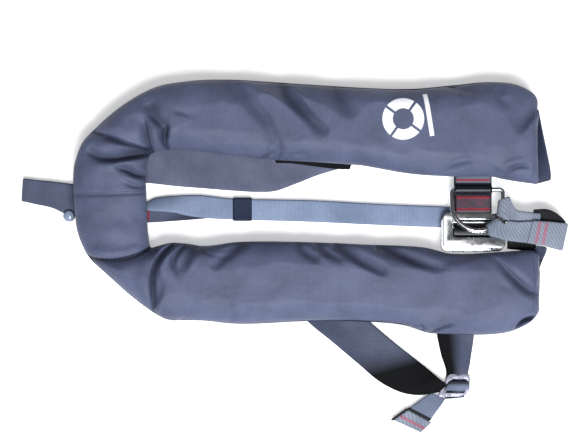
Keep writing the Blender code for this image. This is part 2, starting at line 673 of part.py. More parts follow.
def ring_matrix():
    """The D-ring's own frame: origin on its bar, X along the bar, Y away from the bow."""
    return Matrix.Translation((RING_X, RING_Y, RING_Z)) @ Matrix.Rotation(-RING_TILT, 4, "X")


def ring_point(turn):
    """A point on the bow's centreline, in the ring's own frame. 0 points along +X."""
    return Vector((RING_ARM * math.cos(turn), -RING_DEPTH + RING_ARM * math.sin(turn), 0))


def d_ring():
    """The welded D-ring: a straight bar, two legs and a round bow."""
    corner = RING_WIRE + 0.6 * MM
    points = []
    for quarter, sx in ((0, 1), (1, -1)):
        for i in range(4):
            turn = math.pi / 2 * (quarter + i / 3)
            points.append((sx * (RING_ARM - corner) + corner * math.cos(turn),
                           -corner + corner * math.sin(turn), 0))
    points += [tuple(ring_point(math.pi + math.pi * i / 18)) for i in range(19)]
    obj = wire("d_ring", points, RING_WIRE, cyclic=True)
    obj.matrix_world = ring_matrix()
    return finish(obj, POLISHED, 0.12, 1.0)


def loop_matrix():
    """The tether loop's frame: origin on the ring's wire, X outwards, Z square to the ring."""
    place = Matrix.Translation(ring_point(LOOP_TURN)) @ Matrix.Rotation(LOOP_TURN, 4, "Z")
    return ring_matrix() @ place


def tether_loop():
    """The grey webbing loop round the D-ring's bow, its two legs sewn together further out."""
    half = LOOP_WIDTH / 2
    bow = RING_ARM - math.sqrt(RING_ARM ** 2 - half ** 2)
    hole = RING_WIRE + LOOP_PLAY
    back = -hole - bow
    drop = 0.11

    def sunk(r, n):
        return (r, n - drop * max(0.0, r - 8 * MM))

    inner = [sunk(back, hole * 0.8), sunk(back, -hole * 0.8), sunk(back + 2 * MM, -hole), sunk(2 * MM, -hole),
             sunk(27 * MM, -0.3 * MM), sunk(27 * MM, 0.3 * MM), sunk(2 * MM, hole), sunk(back + 2 * MM, hole)]
    wall = hole + WEBBING
    outer = [sunk(back - WEBBING, wall * 0.7), sunk(back - WEBBING, -wall * 0.7), sunk(back, -wall),
             sunk(4 * MM, -wall), sunk(30 * MM, -WEBBING), sunk(LOOP_REACH, -WEBBING),
             sunk(LOOP_REACH, WEBBING), sunk(30 * MM, WEBBING), sunk(4 * MM, wall), sunk(back, wall)]
    obj = flat_piece("tether_loop", outer, 0, LOOP_WIDTH, [inner])
    obj.matrix_world = loop_matrix() @ Matrix.Rotation(math.pi / 2, 4, "X")
    finish(obj, GREY_WEBBING)
    backing = [sunk(40 * MM, -2.1 * MM), sunk(LOOP_REACH + 2 * MM, -2.1 * MM),
               sunk(LOOP_REACH + 2 * MM, -4.1 * MM), sunk(40 * MM, -4.1 * MM)]
    obj = flat_piece("tether_backing", backing, 0, 20 * MM)
    obj.matrix_world = loop_matrix() @ Matrix.Translation((0, 12 * MM, 0)) @ Matrix.Rotation(math.pi / 2, 4, "X")
    finish(obj, DARK_WEBBING)


# ---- inflator, oral tube and whistle ------------------------------------------------------------

def bore_cutter(name, start, radius, depth):
    """A drill for a bore along +X from its start."""
    bm = bmesh.new()
    bmesh.ops.create_cone(bm, cap_ends=True, segments=SCREW_STEPS, radius1=radius, radius2=radius, depth=depth)
    mesh = bpy.data.meshes.new(name)
    bm.to_mesh(mesh)
    bm.free()
    cutter = mesh_object(name, mesh, CUTTERS)
    cutter.rotation_euler = ALONG_X
    cutter.location = (start[0] + depth / 2, start[1], start[2])
    return cutter


def inflator_body():
    """The moulded body, bored for the gas cylinder's neck, the cap's stub and the lever pin."""
    middle = COVER_MIDDLE
    body = box("inflator_body", (INFLATOR_X, CAP_Y - 14 * MM, middle - BODY_HEIGHT / 2),
               (INFLATOR_X + BODY_DEPTH, CAP_Y - 14 * MM + BODY_WIDTH, middle + BODY_HEIGHT / 2), 2 * MM)
    far_face = INFLATOR_X + BODY_DEPTH
    bores = (("neck_bore", GAS_Y, INFLATOR_X - 1 * MM, NECK_RADIUS + GAP, NECK_LENGTH + 2 * MM),
             ("pin_bore", CAP_Y, INFLATOR_X - 1 * MM, PIN_BORE, 19 * MM),
             ("lever_pin_bore", GAS_Y, far_face - LEVER_PIN_DEPTH - 0.5 * MM, LEVER_PIN + GAP, 13 * MM))
    for name, y, start, radius, depth in bores:
        cut(body, bore_cutter(name, (start, y, middle), radius, depth))
    return finish(body, PLASTIC, 0.4)


def gas_cylinder():
    """The steel cylinder, with its round bottom and threaded neck."""
    r, neck = GAS_RADIUS, NECK_RADIUS
    length = GAS_LENGTH
    dome = [(r * math.sin(t), r * 0.6 * math.cos(t)) for t in [math.pi / 2 * i / 4 for i in range(5)]]
    top = [(0, length + NECK_LENGTH), (neck, length + NECK_LENGTH), (neck, length - 2 * MM),
           (r * 0.75, length - 7 * MM), (r, length - 15 * MM)]
    bottom = [(x, r * 0.6 - z) for x, z in reversed(dome)]
    start = INFLATOR_X - length - 1 * MM
    obj = turned("gas_cylinder", top + bottom, (start, GAS_Y, COVER_MIDDLE), ALONG_X)
    return finish(obj, (0.35, 0.36, 0.37), 0.3, 1.0)


def inflator_cap():
    """The screw cap over the water cartridge: a cup open towards the body."""
    r, wall = CAP_RADIUS, CAP_WALL
    profile = [(0, wall), (r - wall, wall), (r - wall, CAP_LENGTH), (r, CAP_LENGTH), (r, 2 * MM),
               (r - 2 * MM, 0), (0, 0)]
    start = INFLATOR_X - CAP_LENGTH - 0.5 * MM
    obj = turned("inflator_cap", profile, (start, CAP_Y, COVER_MIDDLE), ALONG_X)
    return finish(obj, (0.6, 0.5, 0.02), 0.4)


def cartridge_and_pin():
    """The water cartridge in the cap, and the spring and firing pin in the body's bore."""
    inside = CAP_RADIUS - CAP_WALL - GAP
    start = INFLATOR_X - CAP_LENGTH + CAP_WALL
    cartridge = turned("water_cartridge", [(inside, 16 * MM), (inside, 0), (4 * MM, 0), (4 * MM, 16 * MM)],
                       (start, CAP_Y, COVER_MIDDLE), ALONG_X)
    finish(cartridge, (0.8, 0.8, 0.75), 0.5)
    pin = turned("firing_pin", [(0, 22 * MM), (1 * MM, 20 * MM), (1 * MM, 8 * MM), (3 * MM, 8 * MM),
                                (3 * MM, 4 * MM), (1.6 * MM, 4 * MM), (1.6 * MM, 0), (0, 0)],
                 (INFLATOR_X - 8 * MM, CAP_Y, COVER_MIDDLE), ALONG_X)
    finish(pin, (0.6, 0.5, 0.3), 0.3, 1.0)
    turns, per_turn = 5, 10
    coil = []
    for i in range(turns * per_turn + 1):
        angle = 2 * math.pi * i / per_turn
        along = INFLATOR_X + 1.5 * MM + 13 * MM * i / (turns * per_turn)
        coil.append((along, CAP_Y + 4.4 * MM * math.cos(angle), COVER_MIDDLE + 4.4 * MM * math.sin(angle)))
    finish(wire("firing_spring", coil, 0.5 * MM), POLISHED, 0.3, 1.0)


def firing_lever():
    """The lever on the body's far face, on its pin, with the pin."""
    x = INFLATOR_X + BODY_DEPTH + GAP
    reach = 22 * MM
    tip = [(GAS_Y - reach, COVER_MIDDLE - 2.5 * MM), (GAS_Y - reach, COVER_MIDDLE + 2.5 * MM)]
    root = [(GAS_Y + 5 * MM * math.cos(t), COVER_MIDDLE + 5 * MM * math.sin(t))
            for t in [math.radians(135 - 270 * i / 8) for i in range(9)]]
    lever = profile_along_x("firing_lever", tip + root, x + 1.5 * MM, 3 * MM,
                            [circle((GAS_Y, COVER_MIDDLE), LEVER_PIN + GAP, 12)])
    finish(lever, (0.75, 0.05, 0.03), 0.4)
    head = LEVER_PIN_DEPTH + GAP + 3 * MM + GAP
    pin = turned("lever_pin", [(0, head + 1.2 * MM), (3.2 * MM, head + 1.2 * MM), (3.2 * MM, head),
                               (LEVER_PIN, head), (LEVER_PIN, 0), (0, 0)],
                 (INFLATOR_X + BODY_DEPTH - LEVER_PIN_DEPTH, GAS_Y, COVER_MIDDLE), ALONG_X)
    finish(pin, POLISHED, 0.3, 1.0)


def oral_tube():
    """The mouth tube in the upper lobe with its spring valve's plunger."""
    x = LOBE_END - 22 * MM
    y = UPPER_EDGE + 52 * MM
    r = TUBE_RADIUS
    bore = r - 2 * MM
    length = TUBE_LENGTH
    profile = [(bore, length), (r + 1 * MM, length), (r + 1 * MM, length - 8 * MM), (r, length - 10 * MM),
               (r, 4 * MM), (r + 4 * MM, 3 * MM), (r + 4 * MM, 0), (bore, 0)]
    start = x - length
    finish(turned("oral_tube", profile, (start, y, COVER_MIDDLE), ALONG_X), PLASTIC, 0.5)
    stem = bore - 1 * MM
    plunger = [(0, 12 * MM), (stem, 12 * MM), (stem, 9 * MM), (1.4 * MM, 9 * MM), (1.4 * MM, 0), (0, 0)]
    obj = turned("valve_plunger", plunger, (x - 13 * MM, y, COVER_MIDDLE), ALONG_X)
    finish(obj, (0.7, 0.1, 0.05), 0.4)


def whistle():
    """The flat whistle, with its hole for the cord."""
    x, y = LOBE_END - 88 * MM, UPPER_EDGE + 82 * MM
    outline = rounded_rectangle((x, y), (46 * MM, 16 * MM), 4 * MM)
    hole = circle((x - 18 * MM, y), 2 * MM, 10)
    return finish(flat_piece("whistle", outline, COVER_MIDDLE - 14 * MM, 9 * MM, [hole]), (0.7, 0.25, 0.02), 0.4)


def build():
    """Makes every piece of the jacket."""
    cover_lobe("cover_upper_lobe", UPPER_SIDES)
    cover_lobe("cover_lower_lobe", LOWER_SIDES)
    cover_collar()
    back_panel("back_panel_upper", UPPER_SIDES)
    back_panel("back_panel_lower", LOWER_SIDES)
    back_panel_collar()
    bladder_lobe("bladder_upper", UPPER_SIDES, FOLD_X + 30 * MM, LOBE_END - 118 * MM)
    bladder_lobe("bladder_lower", LOWER_SIDES, FOLD_X + 30 * MM, INFLATOR_X - GAS_LENGTH - 6 * MM)
    bladder_collar()
    closure_strip("closure_strip_upper", UPPER_SIDES, FOLD_X + 40 * MM, LOBE_END - 60 * MM)
    closure_strip("closure_strip_lower", LOWER_SIDES, FOLD_X + 40 * MM, LOBE_END - 60 * MM)
    neck_strap()
    rescue_light()
    shoulder_band()
    centre_strap()
    strap_keeper()
    waist_belts()
    slider()
    strap_tail()
    chest_webbing()
    buckle_plate()
    buckle_frame()
    buckle_webbing()
    belt_end_tab()
    d_ring()
    tether_loop()
    inflator_body()
    gas_cylinder()
    inflator_cap()
    cartridge_and_pin()
    firing_lever()
    oral_tube()
    whistle()


build()
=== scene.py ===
"""Looks of the inflatable life jacket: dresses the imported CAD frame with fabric, webbing and steel."""

import json
import logging
import math
from collections.abc import Iterable, Sequence
from dataclasses import dataclass
from enum import Enum

import bmesh
import bpy
import numpy as np
from mathutils import Matrix, Vector, noise
from mathutils.bvhtree import BVHTree


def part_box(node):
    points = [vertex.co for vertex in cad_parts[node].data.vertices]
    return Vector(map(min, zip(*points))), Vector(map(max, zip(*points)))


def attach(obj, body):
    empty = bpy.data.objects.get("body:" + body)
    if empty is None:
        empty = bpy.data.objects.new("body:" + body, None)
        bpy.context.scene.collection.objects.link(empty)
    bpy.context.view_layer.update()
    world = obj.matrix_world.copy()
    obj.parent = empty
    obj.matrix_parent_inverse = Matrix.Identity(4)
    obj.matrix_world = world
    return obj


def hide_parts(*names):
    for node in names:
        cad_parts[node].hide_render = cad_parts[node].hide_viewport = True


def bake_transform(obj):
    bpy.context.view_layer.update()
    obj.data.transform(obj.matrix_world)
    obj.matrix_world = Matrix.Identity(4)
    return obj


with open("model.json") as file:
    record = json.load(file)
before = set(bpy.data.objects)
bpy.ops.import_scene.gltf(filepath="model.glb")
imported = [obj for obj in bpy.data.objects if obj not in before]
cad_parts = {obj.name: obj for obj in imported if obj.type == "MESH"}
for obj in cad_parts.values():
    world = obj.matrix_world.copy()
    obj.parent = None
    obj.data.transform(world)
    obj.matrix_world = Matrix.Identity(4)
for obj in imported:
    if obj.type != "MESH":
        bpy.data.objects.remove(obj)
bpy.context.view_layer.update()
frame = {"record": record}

MM = 0.001
LOG = logging.getLogger("life_jacket")
WEBBING = 1.6 * MM
# Edges sharper than this stay crisp under smooth shading; points closer than the second are one.
SHARP_EDGE, WELD = math.radians(50), 1e-6
# Cloth: the webbing's lengthwise yarns and the twill's slant, the crinkles' size and height, the print's soft edge,
# and the tint of the sheen.
WARP_PITCH, TWILL_TURN = 0.9 * MM, math.radians(38)
CRINKLE_SIZE, CRINKLE_HEIGHT = 11 * MM, 1.0 * MM
PRINT_EDGE = 0.4 * MM
SHEEN_TINT = "c4cbe4"
# A crease's sharp cleft: its width and its painted shadow line's, in millimetres, and the pinch that makes the
# painted line black.
CLEFT_WIDTH, CLEFT_SHADE_WIDTH, CLEFT_DEPTH = 1.7, 2.0, 2.5


class Body(str, Enum):
    """The CAD bodies that pieces ride on."""

    LOBES = "lobes"
    COLLAR = "collar"
    CHEST = "chest_strap"
    RING = "d_ring"
    TETHER = "tether_loop"
    KEEPER = "keeper"
    SLIDER = "slider"


class Weave(Enum):
    """How a cloth's threads cross."""

    PLAIN = "plain"
    TWILL = "twill"
    RIB = "rib"
    SPACER = "spacer"


# ---- materials ----------------------------------------------------------------------------------

def linear(code: str) -> tuple[float, float, float, float]:
    """Turn an sRGB hex colour into linear RGBA.

    Args:
        code: six hex digits, such as "5b6480".

    Returns:
        The linear colour with alpha 1.
    """
    shares = [int(code[i:i + 2], 16) / 255 for i in (0, 2, 4)]
    red, green, blue = (s / 12.92 if s <= 0.04045 else ((s + 0.055) / 1.055) ** 2.4 for s in shares)
    return red, green, blue, 1.0


def add_node(tree: bpy.types.NodeTree, kind: str, sockets: dict | None = None, **settings) -> bpy.types.Node:
    """Add a node with its settings, and link or set its inputs.

    Args:
        tree: the node tree to add to.
        kind: the node's type name.
        sockets: input name or index to an output socket or a plain value.
        **settings: the node's own properties.

    Returns:
        The new node.
    """
    node = tree.nodes.new(kind)
    for key, value in settings.items():
        setattr(node, key, value)
    for key, value in (sockets or {}).items():
        if isinstance(value, bpy.types.NodeSocket):
            tree.links.new(value, node.inputs[key])
        else:
            node.inputs[key].default_value = value
    return node


def new_material(name: str) -> tuple[bpy.types.Material, bpy.types.NodeTree]:
    """Make an empty node material.

    Args:
        name: the material's name.

    Returns:
        The material and its node tree.
    """
    material = bpy.data.materials.new(name)
    material.use_nodes = True
    material.node_tree.nodes.clear()
    return material, material.node_tree


def banded(tree: bpy.types.NodeTree, coordinates: bpy.types.NodeSocket, pitch: float, direction: str,
           turn: float = 0.0) -> bpy.types.NodeSocket:
    """Draw even bands with a real spacing.

    Args:
        tree: the node tree.
        coordinates: the vector in metres.
        pitch: band spacing in metres.
        direction: "X" or "Y", the way the bands change.
        turn: rotation of the pattern in radians.

    Returns:
        A 0 to 1 socket.
    """
    turned = add_node(tree, "ShaderNodeMapping", {"Vector": coordinates, "Rotation": (0, 0, turn)})
    wave = add_node(tree, "ShaderNodeTexWave", {"Vector": turned.outputs[0], "Scale": math.pi / 10 / pitch},
                    bands_direction=direction)
    return wave.outputs["Fac"]


def blotches(tree: bpy.types.NodeTree, coordinates: bpy.types.NodeSocket, size: float,
             detail: float = 3.0) -> bpy.types.NodeSocket:
    """Draw soft noise with a real feature size.

    Args:
        tree: the node tree.
        coordinates: the vector in metres.
        size: size of a blotch in metres.
        detail: octaves.

    Returns:
        A socket around 0.5.
    """
    return add_node(tree, "ShaderNodeTexNoise", {"Vector": coordinates, "Scale": 1 / size, "Detail": detail,
                                                 "Roughness": 0.55}).outputs["Fac"]


def blended(tree: bpy.types.NodeTree, share: bpy.types.NodeSocket | float, first: object, second: object,
            mode: str = "MIX") -> bpy.types.NodeSocket:
    """Mix two colours.

    Args:
        tree: the node tree.
        share: 0 gives the first, 1 the second.
        first: a colour or socket.
        second: a colour or socket.
        mode: the blend mode.

    Returns:
        The mixed colour socket.
    """
    node = add_node(tree, "ShaderNodeMix", {0: share, 6: first, 7: second}, data_type="RGBA", blend_type=mode)
    return node.outputs[2]


def reach(tree: bpy.types.NodeTree, value: bpy.types.NodeSocket, low: float, high: float, to_low: float = 0.0,
          to_high: float = 1.0) -> bpy.types.NodeSocket:
    """Map a value's range onto another, clamped.

    Args:
        tree: the node tree.
        value: the input.
        low: input that gives to_low.
        high: input that gives to_high.
        to_low: the first result.
        to_high: the last result.

    Returns:
        The mapped socket.
    """
    return add_node(tree, "ShaderNodeMapRange", {0: value, 1: low, 2: high, 3: to_low, 4: to_high}).outputs[0]


def arithmetic(tree: bpy.types.NodeTree, operation: str, *values: object) -> bpy.types.NodeSocket:
    """Do one sum on sockets or numbers.

    Args:
        tree: the node tree.
        operation: the Math node's operation.
        *values: its inputs.

    Returns:
        The result.
    """
    return add_node(tree, "ShaderNodeMath", dict(enumerate(values)), operation=operation).outputs[0]


@dataclass(frozen=True)
class ClothFinish:
    """Woven nylon or polyester cloth and webbing, with raised threads, mottling and a soft sheen."""

    name: str
    light: str
    dark: str
    weave: Weave = Weave.PLAIN
    thread: float = 1.4 * MM
    raised: float = 0.10 * MM
    roughness: float = 0.62
    sheen: float = 0.06
    shine: float = 0.22
    blotch: float = 45 * MM
    # painted shade: the dark colour blended in where the mesh's 'shade' attribute marks creases and sides turned from
    # the light
    painted_shade: str | None = None
    printed: bool = False

    def height(self, tree: bpy.types.NodeTree, flat: bpy.types.NodeSocket) -> bpy.types.NodeSocket:
        """Draw the weave's height from the cloth's own UV."""
        if self.weave is Weave.SPACER:
            cells = add_node(tree, "ShaderNodeTexVoronoi", {"Vector": flat, "Scale": 1 / self.thread,
                                                            "Randomness": 0.12})
            return reach(tree, cells.outputs["Distance"], 0.25, 0.5)
        if self.weave is Weave.TWILL:
            return banded(tree, flat, self.thread, "X", TWILL_TURN)
        along = banded(tree, flat, self.thread, "X")
        if self.weave is Weave.RIB:
            across = banded(tree, flat, WARP_PITCH, "Y")
            return arithmetic(tree, "MULTIPLY_ADD", across, 0.3, along)
        across = banded(tree, flat, self.thread, "Y")
        return arithmetic(tree, "MULTIPLY", along, across)

    def badge(self, tree: bpy.types.NodeTree, place: bpy.types.NodeSocket) -> bpy.types.NodeSocket:
        """Draw the white print's mask: a plain lifebuoy and a bar, on the upper lobe's top."""
        moved = add_node(tree, "ShaderNodeMapping", {"Vector": place, "Location": PRINT.middle},
                         vector_type="TEXTURE")
        turned = add_node(tree, "ShaderNodeMapping", {"Vector": moved.outputs[0],
                                                      "Rotation": (0, 0, PRINT.turn)})
        split = add_node(tree, "ShaderNodeSeparateXYZ", {0: turned.outputs[0]})
        x, y, z = split.outputs
        far = arithmetic(tree, "SQRT", arithmetic(tree, "MULTIPLY_ADD", x, x, arithmetic(tree, "MULTIPLY", y, y)))
        edge = PRINT_EDGE
        ring = arithmetic(tree, "MULTIPLY", reach(tree, far, PRINT.hole - edge, PRINT.hole + edge),
                          reach(tree, far, PRINT.radius - edge, PRINT.radius + edge, 1, 0))
        for gap in PRINT.gaps:
            bearing = arithmetic(tree, "MULTIPLY_ADD", x, math.cos(gap),
                                 arithmetic(tree, "MULTIPLY", y, math.sin(gap)))
            off = arithmetic(tree, "ABSOLUTE", bearing)
            ring = arithmetic(tree, "MULTIPLY", ring, reach(tree, off, PRINT.gap - edge, PRINT.gap + edge))
        aside = arithmetic(tree, "ABSOLUTE", arithmetic(tree, "SUBTRACT", x, PRINT.bar_at))
        bar = arithmetic(tree, "MULTIPLY", reach(tree, aside, PRINT.bar_half - edge, PRINT.bar_half + edge, 1, 0),
                         reach(tree, arithmetic(tree, "ABSOLUTE", y), PRINT.bar_reach, PRINT.bar_reach + edge, 1, 0))
        mark = arithmetic(tree, "MAXIMUM", ring, bar)
        return arithmetic(tree, "MULTIPLY", mark, reach(tree, z, 0, 3 * MM))

    def build(self) -> bpy.types.Material:
        """Make the material."""
        material, tree = new_material(self.name)
        coordinates = add_node(tree, "ShaderNodeTexCoord")
        flat, place = coordinates.outputs["UV"], coordinates.outputs["Object"]
        raised = self.height(tree, flat)
        mottle = reach(tree, blotches(tree, place, self.blotch), 0.3, 0.7)
        colour = blended(tree, mottle, linear(self.dark), linear(self.light))
        fine = reach(tree, blotches(tree, place, 2.5 * MM, 2.0), 0.25, 0.75, 0.9, 1.06)
        colour = blended(tree, 1.0, colour, fine, "MULTIPLY")
        threads = reach(tree, raised, 0, 1, 0.80, 1.08)
        colour = blended(tree, 1.0, colour, threads, "MULTIPLY")
        # Painted shade: blend towards the shade colour by the mesh's 'shade' attribute.
        if self.painted_shade:
            shade = add_node(tree, "ShaderNodeAttribute", attribute_name="shade")
            colour = blended(tree, shade.outputs["Fac"], colour, linear(self.painted_shade))
        rough: object = self.roughness
        if self.printed:
            mark = self.badge(tree, place)
            colour = blended(tree, mark, colour, linear("f2f4fb"))
            rough = reach(tree, mark, 0, 1, self.roughness, 0.4)
        bump = add_node(tree, "ShaderNodeBump", {"Height": raised, "Distance": self.raised, "Strength": 0.8})
        crinkle = blotches(tree, place, CRINKLE_SIZE, 2.0)
        bump = add_node(tree, "ShaderNodeBump", {"Height": crinkle, "Distance": CRINKLE_HEIGHT, "Strength": 0.35,
                                                 "Normal": bump.outputs[0]})
        shader = add_node(tree, "ShaderNodeBsdfPrincipled", {
            "Base Color": colour, "Roughness": rough, "Normal": bump.outputs[0], "IOR": 1.5,
            "Specular IOR Level": self.shine, "Sheen Weight": self.sheen, "Sheen Roughness": 0.4,
            "Sheen Tint": linear(SHEEN_TINT)})
        add_node(tree, "ShaderNodeOutputMaterial", {0: shader.outputs[0]})
        return material


@dataclass(frozen=True)
class MetalFinish:
    """Steel or brass, with faint wear marks that catch the light."""

    name: str
    colour: str
    roughness: float
    brushed: float = 0.05

    def build(self) -> bpy.types.Material:
        """Make the material."""
        material, tree = new_material(self.name)
        place = add_node(tree, "ShaderNodeTexCoord").outputs["Object"]
        scuffs = blotches(tree, place, 5 * MM, 6.0)
        stretched = add_node(tree, "ShaderNodeMapping", {"Vector": place, "Scale": (60, 900, 900)})
        lines = add_node(tree, "ShaderNodeTexNoise", {"Vector": stretched.outputs[0], "Scale": 1.0}).outputs["Fac"]
        rough = reach(tree, scuffs, 0.35, 0.75, self.roughness * 0.7, self.roughness * 1.5)
        tone = blended(tree, reach(tree, scuffs, 0.3, 0.8, 0, 0.25), linear(self.colour), linear("8d9096"))
        bump = add_node(tree, "ShaderNodeBump", {"Height": lines, "Distance": 0.02 * MM, "Strength": self.brushed})
        shader = add_node(tree, "ShaderNodeBsdfPrincipled", {"Base Color": tone, "Metallic": 1.0,
                                                             "Roughness": rough, "Normal": bump.outputs[0]})
        add_node(tree, "ShaderNodeOutputMaterial", {0: shader.outputs[0]})
        return material


@dataclass(frozen=True)
class MouldedFinish:
    """Injection-moulded plastic, with a fine spark-eroded grain."""

    name: str
    colour: str
    roughness: float = 0.42
    clear: float = 0.0

    def build(self) -> bpy.types.Material:
        """Make the material."""
        material, tree = new_material(self.name)
        place = add_node(tree, "ShaderNodeTexCoord").outputs["Object"]
        grain = blotches(tree, place, 0.8 * MM, 2.0)
        cloud = reach(tree, blotches(tree, place, 14 * MM), 0.3, 0.7, 0.85, 1.1)
        colour = blended(tree, 1.0, linear(self.colour), cloud, "MULTIPLY")
        bump = add_node(tree, "ShaderNodeBump", {"Height": grain, "Distance": 0.05 * MM, "Strength": 0.4})
        rough = reach(tree, grain, 0.3, 0.7, self.roughness * 0.8, self.roughness * 1.2)
        shader = add_node(tree, "ShaderNodeBsdfPrincipled", {
            "Base Color": colour, "Roughness": rough, "Normal": bump.outputs[0],
            "Transmission Weight": self.clear, "IOR": 1.49})
        add_node(tree, "ShaderNodeOutputMaterial", {0: shader.outputs[0]})
        return material


@dataclass(frozen=True)
class Print:
    """The plain white print on the upper lobe: a lifebuoy and a bar beside it."""

    middle: tuple[float, float, float] = (350 * MM, 88 * MM, 27 * MM)
    turn: float = math.radians(-9)
    radius: float = 24.5 * MM
    hole: float = 12.5 * MM
    gap: float = 1.6 * MM
    gaps: tuple[float, ...] = (math.radians(45), math.radians(135))
    bar_at: float = 30.5 * MM
    bar_half: float = 2.6 * MM
    bar_reach: float = 25 * MM


PRINT = Print()

FINISHES = {
    # Coated nylon packcloth: a dull blue-grey cover with soft folds. The 0.4 mm weave is drawn at 1.4 mm.
    # Painted shade darkens its creases and clefts.
    "cover": ClothFinish("coated_nylon_cover", "5f6785", "4e5670", sheen=0.06, roughness=0.55, printed=True,
                         painted_shade="161b2c"),
    # The same cloth without the print, for hems and gussets.
    "hem": ClothFinish("nylon_hem_tape", "3c4460", "30374f", thread=1.6 * MM),
    # Spacer mesh on the wearer's side: a padded dark net.
    "panel": ClothFinish("polyester_spacer_mesh", "2b3040", "20242f", Weave.SPACER, 3.2 * MM, 0.5 * MM, 0.8),
    # Polyester webbing, crosswise ribs; light blue-grey where the light strikes it, with painted shade where a strip
    # turns from the light.
    "grey_webbing": ClothFinish("grey_polyester_webbing", "8493b0", "6b7a96", Weave.RIB, 2.4 * MM, 0.2 * MM, 0.6,
                                0.1, blotch=60 * MM, painted_shade="3a4256"),
    "slate_webbing": ClothFinish("slate_polyester_webbing", "60667c", "474e65", Weave.RIB, 1.8 * MM, 0.12 * MM,
                                 0.6, 0.08, blotch=50 * MM, painted_shade="0a0d14"),
    # Seat-belt webbing: close satin yarns, near black with a blue bloom.
    "dark_webbing": ClothFinish("black_satin_webbing", "131825", "090d15", Weave.TWILL, 1.5 * MM, 0.1 * MM, 0.40,
                                0.04, shine=0.4, blotch=30 * MM),
    "elastic": ClothFinish("navy_woven_elastic", "1f2b42", "172136", Weave.RIB, 1.2 * MM, 0.15 * MM, 0.7, 0.05),
    # Dull black polyester, for the pieces that lie in the shade.
    "black_webbing": ClothFinish("matt_black_webbing", "1b1d22", "0f1114", Weave.RIB, 1.6 * MM, 0.12 * MM, 0.7, 0.04),
    # The waist belt: finely ribbed polyester, with painted shade that turns it black where it rolls into its own
    # shade.
    "belt_webbing": ClothFinish("ribbed_belt_webbing", "545a6e", "3e455a", Weave.RIB, 1.8 * MM, 0.12 * MM, 0.7, 0.04,
                                shine=0.10, blotch=60 * MM, painted_shade="06070a"),
    "tail_webbing": ClothFinish("blue_grey_webbing", "6f7a92", "5a6379", Weave.RIB, 2.4 * MM, 0.2 * MM, 0.65, 0.06,
                                painted_shade="20242c"),
    "gusset": ClothFinish("nylon_gusset", "39415a", "272e41", thread=1.6 * MM),
    "twill_webbing": ClothFinish("grey_twill_webbing", "868fa0", "6d7688", Weave.TWILL, 3.4 * MM, 0.35 * MM, 0.6,
                                 0.08, blotch=40 * MM, painted_shade="333b4c"),
    # The stub at the nape, and the box patch sewn on the chest webbing.
    "stub_webbing": ClothFinish("navy_grey_webbing", "545c74", "40485e", Weave.RIB, 2.9 * MM, 0.2 * MM, 0.65, 0.06,
                                blotch=50 * MM, painted_shade="1c2233"),
    "patch_webbing": ClothFinish("sewn_patch_webbing", "4a4450", "38343e", Weave.PLAIN, 1.6 * MM, 0.2 * MM, 0.7, 0.05,
                                 blotch=20 * MM),
    "thread_red": ClothFinish("red_polyester_thread", "c43a50", "9c2c40", thread=0.8 * MM, raised=0.05 * MM),
    "thread_pink": ClothFinish("pink_polyester_thread", "e07c96", "c9627e", thread=0.8 * MM, raised=0.05 * MM),
    "thread_navy": ClothFinish("navy_polyester_thread", "2c3450", "20263c", thread=0.8 * MM, raised=0.05 * MM),
    "thread_grey": ClothFinish("grey_polyester_thread", "8a7580", "6a5a66", thread=0.8 * MM, raised=0.05 * MM),
    # Polished stainless steel: near-white highlights and soft reflections.
    "polished": MetalFinish("polished_stainless_steel", "e2e4e8", 0.16),
    "satin": MetalFinish("satin_stainless_steel", "a9adb6", 0.42, 0.25),
    "slider": MetalFinish("bead_blasted_alloy", "6b6a78", 0.5, 0.3),
    "brass": MetalFinish("turned_brass", "c9a65a", 0.3),
    "black": MouldedFinish("black_nylon_moulding", "15171c"),
    "yellow": MouldedFinish("yellow_abs_moulding", "d9b51c"),
    "red": MouldedFinish("red_abs_moulding", "b3222a"),
    "orange": MouldedFinish("orange_polycarbonate", "d2601c", 0.35),
    "lens": MouldedFinish("clear_polycarbonate_lens", "b9d2f2", 0.12, 0.55),
    "bladder": ClothFinish("yellow_coated_bladder", "e08a1e", "c87616", thread=1.2 * MM, sheen=0.1),
    "hook": ClothFinish("hook_and_loop_tape", "14161c", "0b0c10", Weave.SPACER, 1.5 * MM, 0.5 * MM, 0.9),
    "paper": ClothFinish("pressed_paper_cartridge", "d8d2c2", "c4bca8", thread=1.0 * MM, raised=0.05 * MM),
}


class Wardrobe:
    """Builds each finish once, when it is first asked for."""

    def __init__(self) -> None:
        """Start empty."""
        self.made: dict[str, bpy.types.Material] = {}

    def get(self, key: str) -> bpy.types.Material:
        """Return the material of a finish."""
        if key not in self.made:
            self.made[key] = FINISHES[key].build()
        return self.made[key]


WARDROBE = Wardrobe()


# ---- mesh helpers -------------------------------------------------------------------------------

def linked(name: str, data: bpy.types.ID) -> bpy.types.Object:
    """Put a mesh, curve, light or camera into the scene as an object."""
    obj = bpy.data.objects.new(name, data)
    bpy.context.scene.collection.objects.link(obj)
    return obj


def outward(mesh: bpy.types.Mesh, weld: float = 0.0) -> None:
    """Turn a mesh's faces outwards.

    Args:
        mesh: the mesh to change.
        weld: points closer than this, in metres, are joined first.
    """
    bm = bmesh.new()
    bm.from_mesh(mesh)
    if weld:
        bmesh.ops.remove_doubles(bm, verts=bm.verts, dist=weld)
    bmesh.ops.recalc_face_normals(bm, faces=bm.faces)
    bm.to_mesh(mesh)
    bm.free()


